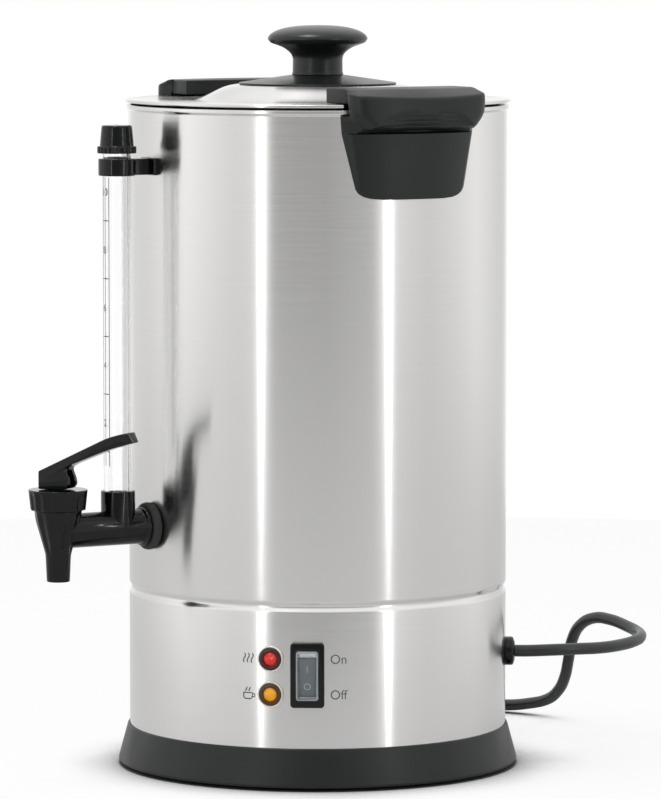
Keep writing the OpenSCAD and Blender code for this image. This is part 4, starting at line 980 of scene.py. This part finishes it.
class URN_OT_handles(bpy.types.Operator):
    """Two grips with grooved ledges, and the clips over the lid's notches"""
    bl_idname = "urn.handles"
    bl_label = "Handles"

    # Heights from the foot up, and reaches from the urn's axis
    FOOT, HOLLOW, BAND, FLARE, BROW, TOP = 335, 372, 384, 387, 392.2, 397.5
    FOOT_R, SKIRT_R, LEDGE_R, TOP_R, SEAM, CLIP_FOOT = 112.4, 116.2, 126, 113, 102.4, 388.7
    # Half widths of the skirt, of the flare where it starts, of the ledge and of the top
    SKIRT_HALF, FLARE_HALF, LEDGE_HALF, TOP_HALF = 43, 32, 44, 40.4
    # Half width and rise of the foot's round corner
    FOOT_CURVE = ((20, 0), (27, 0.5), (31, 1.6), (34, 3.4), (35.6, 5.8), (36.4, 9), (36.9, 11))
    SKIRT_CURVE, SKIRT_SLANT, LEDGE_CORNER, END_ROUND, BROW_LIFT = 88, 0.58, 10, 6, 2
    # The scoop under the ledge: its reach where it starts, its half width there and at its top
    SCOOP_R, SCOOP_HALF, MIDDLE_HALF = 112.2, 38.4, 22.5
    FRONT_STEPS, SIDE_STEPS, BACK_STEPS = 12, 16, 8
    # The back lies on the wall, and above this height clear of the rim
    WALL_R, RIM_CLEAR_R, RIM_FOOT = 110.15, 112.4, 382
    # The clip's plate and its leg inside the wall
    CLIP_IN, CLIP_HALF, LEG_HALF = 82, 42, 28
    LEG_IN, LEG_OUT, LEG_FOOT, LEG_TOP = 104.35, 108.85, 353.5, 391.7

    def execute(self, context):
        grip = loft("grip_right", self.rings(context.scene.urn_sizes.grooves))
        self.pair(grip, "grip_left", ("handle_right", "handle_left"))
        self.pair(self.make_clip(), "lid_clip_left", ("clip_right", "clip_left"))
        return {"FINISHED"}

    def pair(self, piece, name, nodes):
        """Copies a right hand piece to the other side and dresses both."""
        ready(piece)
        bpy.ops.object.duplicate(linked=False)
        other = named(name)
        place(other, Matrix.Rotation(math.pi, 4, "Z"))
        for obj, node in ((piece, nodes[0]), (other, nodes[1])):
            dress(obj, "urn", satin_phenolic, "black_satin", node)

    def rings(self, grooves):
        """Outlines from the foot up: the skirt, the grooved scoop under the ledge, the ledge."""
        rings = [self.skirt_ring(self.FOOT_R + rise / 9, half, self.FOOT + rise)
                 for half, rise in self.FOOT_CURVE]
        rings.append(self.skirt_ring(self.SKIRT_R, self.SKIRT_HALF, self.HOLLOW))
        levels = [(0.02, 0)]
        for k in range(grooves):
            levels += [((k + 0.75) / (grooves + 0.5) + shift, dent)
                       for shift, dent in ((-0.06, 0), (-0.02, 0.5), (0.02, 0.5), (0.06, 0))]
        rings += [self.ledge_ring(self.LEDGE_R, self.HOLLOW + (self.BAND - self.HOLLOW) * share, dent)
                  for share, dent in [*levels, (0.93, 0)]]
        upper = soften([(self.LEDGE_R, self.BAND + 0.4), (self.LEDGE_R, self.FLARE, {"round": 0}),
                        (self.LEDGE_R, self.BROW), (self.TOP_R, self.TOP, {"round": 3}),
                        (self.TOP_R - 6, self.TOP)], 6, 6)[:-1]
        return rings + [self.ledge_ring(reach, z) for reach, z in upper]

    def skirt_ring(self, reach, half, z):
        """A shallow round front, crisp corners and slanted ends that meet the wall."""
        wall = Vector((self.back(half, z), half))
        edge = half - self.SKIRT_SLANT * (math.sqrt(reach ** 2 - half ** 2) - wall.x)
        hub = reach - self.SKIRT_CURVE
        bow = [(hub + math.sqrt(self.SKIRT_CURVE ** 2 - y * y), y)
               for y in (edge * k / 16 for k in range(17))]
        line = soften([*bow[:-1], (*bow[-1], {"round": 1.2}), wall], 0)
        return self.close_ring(line, z, edge - 1.2)

    def ledge_ring(self, reach, z, dent=None):
        """A front round the urn's axis with round corners. Towards the hollow its ends draw in to
        the skirt's. Given a dent, the scoop cuts the front and ends in a slanting crease."""
        rise = min((z - self.HOLLOW) / (self.FLARE - self.HOLLOW), 1)
        top = max(1 - (self.TOP - z) / self.END_ROUND, 0)
        half = self.FLARE_HALF + (self.LEDGE_HALF - self.FLARE_HALF) * math.sin(math.pi / 2 * rise)
        half -= (self.LEDGE_HALF - self.TOP_HALF) * (1 - math.sqrt(1 - top * top))
        corner = min(self.LEDGE_CORNER, max(1.5, math.sqrt(reach ** 2 - half ** 2) - self.SEAM))
        turn = math.asin((half - corner) / (reach - corner))
        hub = (reach - corner) * Vector((math.cos(turn), math.sin(turn)))
        line = [reach * Vector((math.cos(a), math.sin(a))) for a in (turn * k / 40 for k in range(40))]
        for k in range(21):
            a = turn + (math.pi / 2 - turn) * k / 20
            line.append(hub + corner * Vector((math.cos(a), math.sin(a))))
        end = self.SKIRT_HALF + rise if z < self.RIM_FOOT else self.TOP_HALF
        line.append(Vector((self.back(end, z), end)))
        if dent is None:
            return self.close_ring(line, z, self.MIDDLE_HALF)
        share = (z - self.HOLLOW) / (self.BAND - self.HOLLOW)
        split = self.SCOOP_HALF + (self.MIDDLE_HALF - self.SCOOP_HALF) * share
        depth = self.SCOOP_R + (self.LEDGE_R - self.SCOOP_R) * share
        return self.close_ring(line, z, split, depth - dent)

    def back(self, y, z):
        """Reach of the grip's back: on the wall, clear of the rim, or at the seam with the clip."""
        if z > self.CLIP_FOOT:
            return self.SEAM
        return math.sqrt((self.WALL_R if z < self.RIM_FOOT else self.RIM_CLEAR_R) ** 2 - y * y)

    def close_ring(self, line, z, split, depth=None):
        """Spreads points along half an outline before and after its split, adds the back and the
        other half. A depth hollows the front out. The brow rises towards its ends."""
        i = next(i for i, p in enumerate(line) if p.y >= split)
        crease = line[i - 1].lerp(line[i], (split - line[i - 1].y) / (line[i].y - line[i - 1].y))
        front = spread([*line[:i], crease], self.FRONT_STEPS)[:-1]
        for p in front:
            if depth:
                p.x = depth + (crease.x - depth) * (p.y / split) ** 2
        lift = self.BROW_LIFT * max(0, min((z - self.BAND) / (self.BROW - self.BAND),
                                           (self.TOP - z) / (self.TOP - self.BROW)))
        points = [(x, y, z + lift * (y / self.LEDGE_HALF) ** 2)
                  for x, y in front + spread([crease, *line[i:]], self.SIDE_STEPS)]
        for k in range(1, self.BACK_STEPS + 1):
            y = line[-1].y * (1 - k / self.BACK_STEPS)
            points.append((self.back(y, z), y, z))
        return points + [(x, -y, height) for x, y, height in reversed(points[1:-1])]

    def make_clip(self):
        """A plate over the lid's notch, with a tongue to a leg inside the wall."""
        seam = self.SEAM - 0.15
        clip = slab("lid_clip_right", [(self.CLIP_IN, -self.CLIP_HALF), (seam, -self.TOP_HALF),
                                       (seam, self.TOP_HALF), (self.CLIP_IN, self.CLIP_HALF)],
                    self.TOP - self.CLIP_FOOT)
        place(clip, Matrix.Translation((0, 0, self.CLIP_FOOT)))
        round_edges(clip, 0.9)
        leg = lathe("leg", [(self.LEG_IN, self.LEG_FOOT), (self.LEG_OUT, self.LEG_FOOT),
                            (self.LEG_OUT, self.LEG_TOP), (self.LEG_IN, self.LEG_TOP),
                            (self.LEG_IN, self.LEG_FOOT)], WIDE_STEPS)
        tongue = lathe("tongue", [(0, self.CLIP_FOOT), (self.LEG_OUT, self.CLIP_FOOT),
                                  (self.LEG_OUT, self.LEG_TOP), (0, self.LEG_TOP)], WIDE_STEPS)
        for piece, start in ((leg, 0), (tongue, 90)):
            width = box("width", (start, -self.LEG_HALF, 350), (120, self.LEG_HALF, 400))
            cut(piece, width, "INTERSECT")
            cut(clip, piece, "UNION")
        return clip


class URN_OT_tap(bpy.types.Operator):
    """Tap body, washer, bonnet and lever"""
    bl_idname = "urn.tap"
    bl_label = "Tap"

    SHANK_Z, SPOUT_Z, COLLAR_Z, SHANK_R, LEVER_ANGLE = 145, 116.4, 157.35, 9.85, 35

    def execute(self, context):
        sizes = context.scene.urn_sizes
        self.make_body(sizes.flutes)
        self.make_washer()
        self.make_bonnet(sizes.scallops)
        self.make_lever(heights("tap_bonnet")[1])
        self.make_spring()
        return {"FINISHED"}

    def make_body(self, flutes):
        """Fluted barrel and spout, joined to the shank and to the gauge's socket."""
        barrel = lathe("tap_casting", divide(ring_outline(
            [(4.5, 139), (4.5, self.SPOUT_Z), (6.6, self.SPOUT_Z), (7.26, 131.3, {"round": 3}),
             (8.4, 135.7), (12.9, 151.2, {"round": 4}), (13.7, self.COLLAR_Z), (11.5, self.COLLAR_Z),
             (11.5, 163.2), (7, 163.2), (7, 139)], 0.5), 2), flutes * 12, TAP_AXIS)
        flute(barrel, TAP_AXIS, flutes, 0.9, 6, (130, 8), (157, 2))
        shank = lathe("shank", soften(
            [(0, BODY_R + 5), (11.2, BODY_R + 5), (11.2, BODY_R + 7.6), (self.SHANK_R, BODY_R + 8.4),
             (self.SHANK_R, -TAP.y - 4), (0, -TAP.y - 4)], 0.6), 64)
        place(shank, on_wall(0, self.SHANK_Z))
        stub = lathe("stub", [(0, BODY_R - 18), (8, BODY_R - 18), (8, BODY_R + 5.4),
                              (0, BODY_R + 5.4)], 64)
        place(stub, on_wall(0, self.SHANK_Z))
        socket = lathe("socket", soften(
            [(0, self.SHANK_Z), (self.SHANK_R, self.SHANK_Z), (self.SHANK_R, 166.5), (8.15, 166.5),
             (8.15, 152), (0, 152)], 0.7), 64, GAUGE_AXIS)
        cut(cut(shank, stub, "UNION"), socket, "UNION")
        cut(shank, lathe("chamber", [(0, 138), (7.2, 138), (7.2, 170), (0, 170)], 64, TAP_AXIS))
        cut(barrel, shank, "UNION")
        dress(barrel, "urn", gloss_nylon, "black_gloss", "tap_body")

    def make_washer(self):
        washer = lathe("tap_washer_ring", ring_outline(
            [(8.1, 0.1), (13.2, 0.1), (13.75, 2.5, {"round": 2.2}), (13.2, 5), (8.1, 5)], 1.6), 64)
        place(washer, on_wall(0, self.SHANK_Z, BODY_R))
        dress(washer, "urn", black_rubber, "black_rubber", "tap_washer")

    def make_bonnet(self, scallops):
        foot, top = heights("tap_bonnet")
        bonnet = lathe("tap_bonnet_ring", divide(ring_outline(
            [(2.7, foot + 6.2), (11.7, foot + 6.2), (11.7, foot), (15.75, foot), (17, top),
             (2.7, top)], 0.6), 1.5), scallops * 12, TAP_AXIS)
        flute(bonnet, TAP_AXIS, scallops, 0.8, 14, (foot - 1, 0.5), (top - 0.3, 2.5))
        dress(bonnet, "urn", gloss_nylon, "black_gloss", "tap_bonnet")

    def make_spring(self):
        """A coil from the cup to the bonnet."""
        low, high = span("valve_spring")
        wire, turns, steps, rise = 0.45, 7, 24, 2.5
        rings = []
        for k in range(turns * steps + 1):
            a = FULL_TURN * k / steps
            out = Vector((math.cos(a), math.sin(a), 0))
            z = low.z + wire + (high.z - low.z - 2 * wire) * k / (turns * steps)
            at = Vector((TAP.x, TAP.y, z)) + out * (high.x - wire)
            along = Vector((-out.y, out.x, 0))
            rings.append([at + wire * Matrix.Rotation(FULL_TURN * i / 8, 3, along) @ out
                          for i in range(8)])
        spring = loft("valve_spring_coil", rings)
        dress(spring, "urn", zinc_plated_steel, "zinc_steel", "valve_spring")
        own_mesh(spring)

    def make_lever(self, foot):
        """Side outline from the bonnet's top; x runs along the lever, y runs up."""
        outline = soften(
            [(-9.6, 5), (-9.6, 0.3), (5.5, 0.3), (8.2, 1), (9.7, 3.5), (9.2, 6.5),
             (6.6, 12.5, {"round": 3}), (11.5, 15.1), (33.5, 24, {"round": 8}),
             (48.6, 28.4, {"round": 0.8}), (46, 34.3, {"round": 1}), (35, 31.5, {"round": 6}),
             (-9.6, 10.5, {"round": 0.8}), (-9.6, 5)], 1)[:-1]
        lever = slab("tap_lever_arm", outline, 12)
        lever = place(lever, Matrix.Translation((0, 0, -6)))
        round_edges(lever, 0.9, 3, 60)
        cut(lever, box("slot", (-7.6, -1, -2.8), (14, 11.4, 2.8)))
        turn = on_wall(self.LEVER_ANGLE, 0)
        turn.translation = Vector((TAP.x, TAP.y, foot))
        place(lever, turn)
        dress(lever, "tap_handle", gloss_nylon, "black_gloss", "tap_lever")


class URN_OT_gauge(bpy.types.Operator):
    """Sight tube with its printed scale, bracket and cap"""
    bl_idname = "urn.gauge"
    bl_label = "Gauge"

    def execute(self, context):
        sizes = context.scene.urn_sizes
        self.make_tube(sizes.scale_marks)
        self.make_bracket()
        self.make_cap(sizes.knurls)
        return {"FINISHED"}

    def make_tube(self, marks):
        low, high = heights("sight_tube")
        tube = lathe("sight_glass", ring_outline([(6, low), (8, low), (8, high), (6, high)], 0.4),
                     STEPS, GAUGE_AXIS)
        self.print_scale(tube, marks)
        dress(tube, "urn", borosilicate_tube, "gauge_glass", "sight_tube")

    def make_bracket(self):
        """A ring round the tube, with an arm to a pad that lies on the wall."""
        foot, top = heights("gauge_bracket")
        bracket = lathe("gauge_clip", ring_outline([(0.5, foot), (10.65, foot), (10.65, top),
                                                    (0.5, top)], 0.8), STEPS, GAUGE_AXIS)
        pad = box("pad", (-8, -BODY_R - 2.5, foot), (8, -BODY_R + 1.5, top))
        arm = box("arm", (-4.5, GAUGE.y + 6, foot + 0.3), (4.5, -BODY_R - 1, top - 0.3))
        cut(cut(bracket, round_edges(pad, 0.6), "UNION"), arm, "UNION")
        for name, reach, steps, axis in (("bore", 8.15, STEPS, GAUGE_AXIS),
                                         ("wall", BODY_R + 0.05, WIDE_STEPS, (0, 0))):
            cut(bracket, lathe(name, [(0, foot - 5), (reach, foot - 5), (reach, top + 5),
                                      (0, top + 5)], steps, axis))
        dress(bracket, "urn", gloss_nylon, "black_gloss", "gauge_bracket")

    def make_cap(self, knurls):
        foot, top = heights("gauge_cap")
        cap = lathe("gauge_cap_cone", ring_outline(
            [(8.3, foot), (11.2, foot), (11.2, foot + 3.9), (9.75, foot + 4.1),
             (8.7, top, {"round": 1.4}), (1, top), (1, foot + 13), (8.3, foot + 13)], 0.5),
            knurls * 8, GAUGE_AXIS)
        flute(cap, GAUGE_AXIS, knurls, 0.6, 10.3, (foot - 2, 1), (foot + 4.5, 0.4))
        dress(cap, "gauge_top", gloss_nylon, "black_gloss", "gauge_cap")

    def print_scale(self, tube, marks):
        """Two border lines with ticks and even numbers between them, wrapped on the tube's front."""
        low, high, front, half = 181, 346, GAUGE.y - 9, 3.6
        pieces = [self.sheet_mark(-half, (low + high) / 2, 0.8, high - low, front),
                  self.sheet_mark(half, (low + high) / 2, 0.4, high - low, front)]
        for k in range(1, marks + 1):
            z = low + (high - low) * (k - 0.5) / marks
            if k % 2:
                pieces.append(self.sheet_mark(0, z, 2 * half, 0.4, front))
                continue
            number = text_mesh("number", str(k), 6, "CENTER")
            place(number, Matrix(((1, 0, 0, 0), (0, 0, -1, front), (0, 1, 0, z - 2.1), (0, 0, 0, 1))))
            pieces.append(number)
        join(pieces)
        scale = named("gauge_scale")
        ink(scale, tube, 0.04, 0.05, **project("y"))
        dress(scale, "urn", black_print, "black_gloss")

    def sheet_mark(self, x, z, wide, tall, y):
        """A flat mark in front of the tube, cut fine enough to wrap."""
        ready()
        bpy.ops.mesh.primitive_grid_add(x_subdivisions=8, y_subdivisions=1, size=1)
        mark = named("mark")
        return place(mark, Matrix(((wide * MM, 0, 0, x), (0, 0, -1, y), (0, tall * MM, 0, z),
                                   (0, 0, 0, 1))))


class URN_OT_switch(bpy.types.Operator):
    """Rocker switch: frame, grey rocker and clear boot"""
    bl_idname = "urn.switch"
    bl_label = "Switch"

    def execute(self, context):
        self.make_frame()
        self.make_rocker()
        self.make_boot()
        return {"FINISHED"}

    def make_frame(self):
        case = round_edges(self.plate("switch_frame", 19.4, 37, 2, -0.3, 3.3), 0.8)
        cut(case, self.plate("hole", 12.9, 28.3, 1, -15, 30))
        shell = self.plate("shell", 13.9, 29.3, 1, -22, 21)
        cut(shell, self.plate("hollow", 12.9, 28.3, 1, -20, 30))
        cut(case, shell, "UNION")
        self.put(case, "urn", gloss_nylon, "black_gloss", "switch_body")

    def make_rocker(self):
        """A key that is the same on both sides of its axle, turned by half its travel."""
        half_travel, axle = Matrix.Rotation(math.radians(11), 2), Vector((0, -4))
        outline = soften([(-5, -3), (5, -3), (11.2, 4.2), (11.6, 7.2), (0, 6.2, {"round": 6}),
                          (-11.6, 7.2), (-11.2, 4.2), (-5, -3)], 0.8)[:-1]
        rocker = slab("rocker_key", [half_travel @ p + axle for p in outline], 10.2)
        place(rocker, Matrix(((0, 0, 1, -5.1), (1, 0, 0, 0), (0, 1, 0, 0), (0, 0, 0, 1))))
        round_edges(rocker, 0.5)
        for letter, y in (("I", 1.8), ("O", -8.2)):
            self.put(self.letter(letter, y, rocker), "rocker", pale_print, "rocker_grey")
        self.put(rocker, "rocker", grey_polycarbonate, "rocker_grey", "switch_rocker")

    def make_boot(self):
        rim = round_edges(self.plate("boot_rim", 12.6, 28, 1.6, -2, 8.4), 1)
        window = self.plate("boot_window", 10.6, 26, 1, 5.5, 0.6)
        cut(rim, self.plate("opening", 10.7, 26.1, 1, -10, 20))
        self.put(rim, "urn", milky_vinyl, "clear_boot", "switch_boot")
        self.put(window, "urn", clear_vinyl, "clear_boot")

    def plate(self, name, width, height, corner, low, depth):
        """A flat block with round corners, which starts at low and rises off the wall."""
        return place(slab(name, rounded_rectangle(width, height, corner), depth),
                     Matrix.Translation((0, 0, low)))

    def letter(self, name, y, rocker):
        """A letter printed on the rocker's face."""
        mark = text_mesh("rocker_mark_" + name, name, 5.4, "CENTER")
        place(mark, Matrix.Translation((0, y, 9)))
        return ink(mark, rocker, 0.04, 0.06, **project("z"))

    def put(self, obj, body, maker, slot, *nodes):
        """Sets a piece of the switch on the wall and dresses it."""
        place(obj, on_wall(SWITCH_ANGLE, SWITCH_Z, BODY_R))
        dress(obj, body, maker, slot, *nodes)


class URN_OT_lamps(bpy.types.Operator):
    """Two indicator lamps: bezel, a rim painted dark as shade and a lens with a painted glow"""
    bl_idname = "urn.lamps"
    bl_label = "Lamps"

    def execute(self, context):
        for name, rim_painted_shade_maker, lens_painted_glow_maker, slot in (
                ("heating_lamp", dark_red_acrylic, red_acrylic, "lamp_red"),
                ("warm_lamp", dark_amber_acrylic, amber_acrylic, "lamp_amber")):
            where = on_wall(LAMP_ANGLE, middle(name + "_lens").z, BODY_R)
            bezel = lathe(name + "_bezel", ring_outline(
                [(5.3, -14), (6, -14), (6, 0), (7.5, 0), (7.5, 0.9), (7, 1.5), (6.6, 1.5), (6.6, 0.4),
                 (5.3, 0.4)], 0.3), 64)
            dress(place(bezel, where), "urn", bright_bezel, "lamp_bezel", name + "_body")
            # The rim's dark colour is painted shade round the lens.
            rim = lathe(name + "_rim", ring_outline(
                [(3.9, -2), (5.2, -2), (5.2, 0.5), (6.5, 0.5), (6.5, 1.5), (5.4, 2.2),
                 (3.9, 2.2)], 0.4), 64)
            dress(place(rim, where), "urn", rim_painted_shade_maker, slot)
            # The lens's brighter colour and its emission are a painted glow of the lamp behind it.
            lens = lathe(name + "_core", soften(
                [(0, -1), (3.85, -1), (3.85, 1.6), (0.8, 4.1, {"round": 0.8}), (0, 4.3)], 0.3, 3), 48)
            dress(place(lens, where), "urn", lens_painted_glow_maker, slot, name + "_lens", smooth=20)
        return {"FINISHED"}


class URN_OT_marks(bpy.types.Operator):
    """Printed marks beside the switch and the lamps"""
    bl_idname = "urn.marks"
    bl_label = "Marks"

    UPPER, LOWER = 75, 54.7

    def execute(self, context):
        for name, words, z in (("on_mark", "On", self.UPPER), ("off_mark", "Off", self.LOWER)):
            self.print_on(text_mesh(name, words, 7.6), SWITCH_ANGLE, 12.9, z - 2.6)
        waves = [[(x + 0.7 * math.sin(k), 0.9 * k) for k in range(-3, 4)] for x in (-2.4, 0, 2.4)]
        steam = [[(x + 0.4 * math.sin(k), 2.4 + 0.6 * k) for k in range(-2, 3)] for x in (-1.2, 0.8)]
        cup = [[(-3, 0.4), (-2.7, -2.4), (-1.8, -3), (1.4, -3), (2.3, -2.4), (2.6, 0.4), (-3, 0.4)],
               [(2.4, -0.3), (4, -0.3), (4, -1.8), (2.3, -1.8)], *steam]
        for name, lines, z in (("heat_mark", waves, self.UPPER), ("cup_mark", cup, self.LOWER)):
            self.print_on(join([self.stroke(name, line) for line in lines]), LAMP_ANGLE, -13.5, z)
        return {"FINISHED"}

    def print_on(self, mark, angle, x, z):
        """Prints a flat mark on the wall, x to the right of a bearing."""
        place(mark, on_wall(angle, z, BODY_R + 0.5) @ Matrix.Translation((x, 0, 0)))
        ink(mark, bpy.data.objects["steel_wall"], 0.03, 0.05, wrap_method="NEAREST_SURFACEPOINT")
        dress(mark, "urn", grey_print, "black_gloss")

    def stroke(self, name, line):
        """A flat ribbon of even width along a line."""
        outline = self.ribbon(line)
        obj = draw_line(name, [(*p, 0) for p in [*outline, outline[0]]])
        bpy.ops.mesh.remove_doubles(threshold=0.002 * MM)
        bpy.ops.mesh.edge_face_add()
        bpy.ops.object.mode_set(mode="OBJECT")
        return obj

    def ribbon(self, line, width=0.7):
        """Outline of a stroke of even width along a line."""
        line = [Vector(p) for p in line]
        sides = []
        for i, p in enumerate(line):
            way = (line[min(i + 1, len(line) - 1)] - line[max(i - 1, 0)]).normalized()
            sides.append((p, Vector((-way.y, way.x)) * width / 2))
        return [p + side for p, side in sides] + [p - side for p, side in reversed(sides)]


class URN_OT_inside(bpy.types.Operator):
    """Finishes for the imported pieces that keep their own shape"""
    bl_idname = "urn.inside"
    bl_label = "Inside"

    FINISHES = {
        brushed_stainless_steel: ("tank_floor", "brew_basket", "basket_cover", "pump_stem"),
        satin_phenolic: ("base_plate",),
        gloss_nylon: ("valve_stem", "gland_nut"),
        black_rubber: ("rubber_feet",),
        clear_silicone: ("tap_inner_seal", "seat_cup", "tube_seal", "cap_bung"),
        zinc_plated_steel: ("base_screws", "knob_screw", "screws_right", "screws_left",
                            "bracket_screw", "lamp_nuts", "tap_nut", "lever_pin"),
        cast_aluminium: ("heater_plate",),
        heat_tinted_sheath: ("heating_element",),
        mica_band: ("keep_warm_ring",),
        brown_phenolic: ("brew_thermostat",),
        glazed_ceramic: ("safety_cutout", "terminal_block"),
        cord_vinyl: ("supply_lead",),
        nickel_plate: ("plug_pins",),
    }

    def execute(self, context):
        for maker, nodes in self.FINISHES.items():
            for node in nodes:
                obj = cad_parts[node]
                obj.data.materials.clear()
                obj.data.materials.append(finish(maker))
        return {"FINISHED"}


OPERATORS = (URN_OT_stage, URN_OT_cord, URN_OT_body, URN_OT_lid, URN_OT_handles, URN_OT_tap,
             URN_OT_gauge, URN_OT_switch, URN_OT_lamps, URN_OT_marks, URN_OT_inside)


class URN_PT_panel(bpy.types.Panel):
    """Lists the urn's steps in the sidebar"""
    bl_label = "Coffee urn"
    bl_idname = "URN_PT_panel"
    bl_space_type = "VIEW_3D"
    bl_region_type = "UI"
    bl_category = "Coffee urn"

    def draw(self, context):
        for group in (context.scene.urn_sizes, context.scene.urn_colours, context.scene.urn_stage):
            column = self.layout.column()
            for name in group.__annotations__:
                column.prop(group, name)
        for operator in OPERATORS:
            self.layout.operator(operator.bl_idname)


GROUPS = {"urn_sizes": UrnSizes, "urn_colours": UrnColours, "urn_stage": UrnStage}


def register():
    for cls in (*GROUPS.values(), *OPERATORS, URN_PT_panel):
        bpy.utils.register_class(cls)
    for name, group in GROUPS.items():
        setattr(bpy.types.Scene, name, bpy.props.PointerProperty(type=group))


def unregister():
    for name in GROUPS:
        delattr(bpy.types.Scene, name)
    for cls in (URN_PT_panel, *reversed(OPERATORS), *GROUPS.values()):
        bpy.utils.unregister_class(cls)


def main():
    register()
    for operator in OPERATORS:
        getattr(bpy.ops.urn, operator.bl_idname.split(".")[1])()


if __name__ == "__main__":
    main()
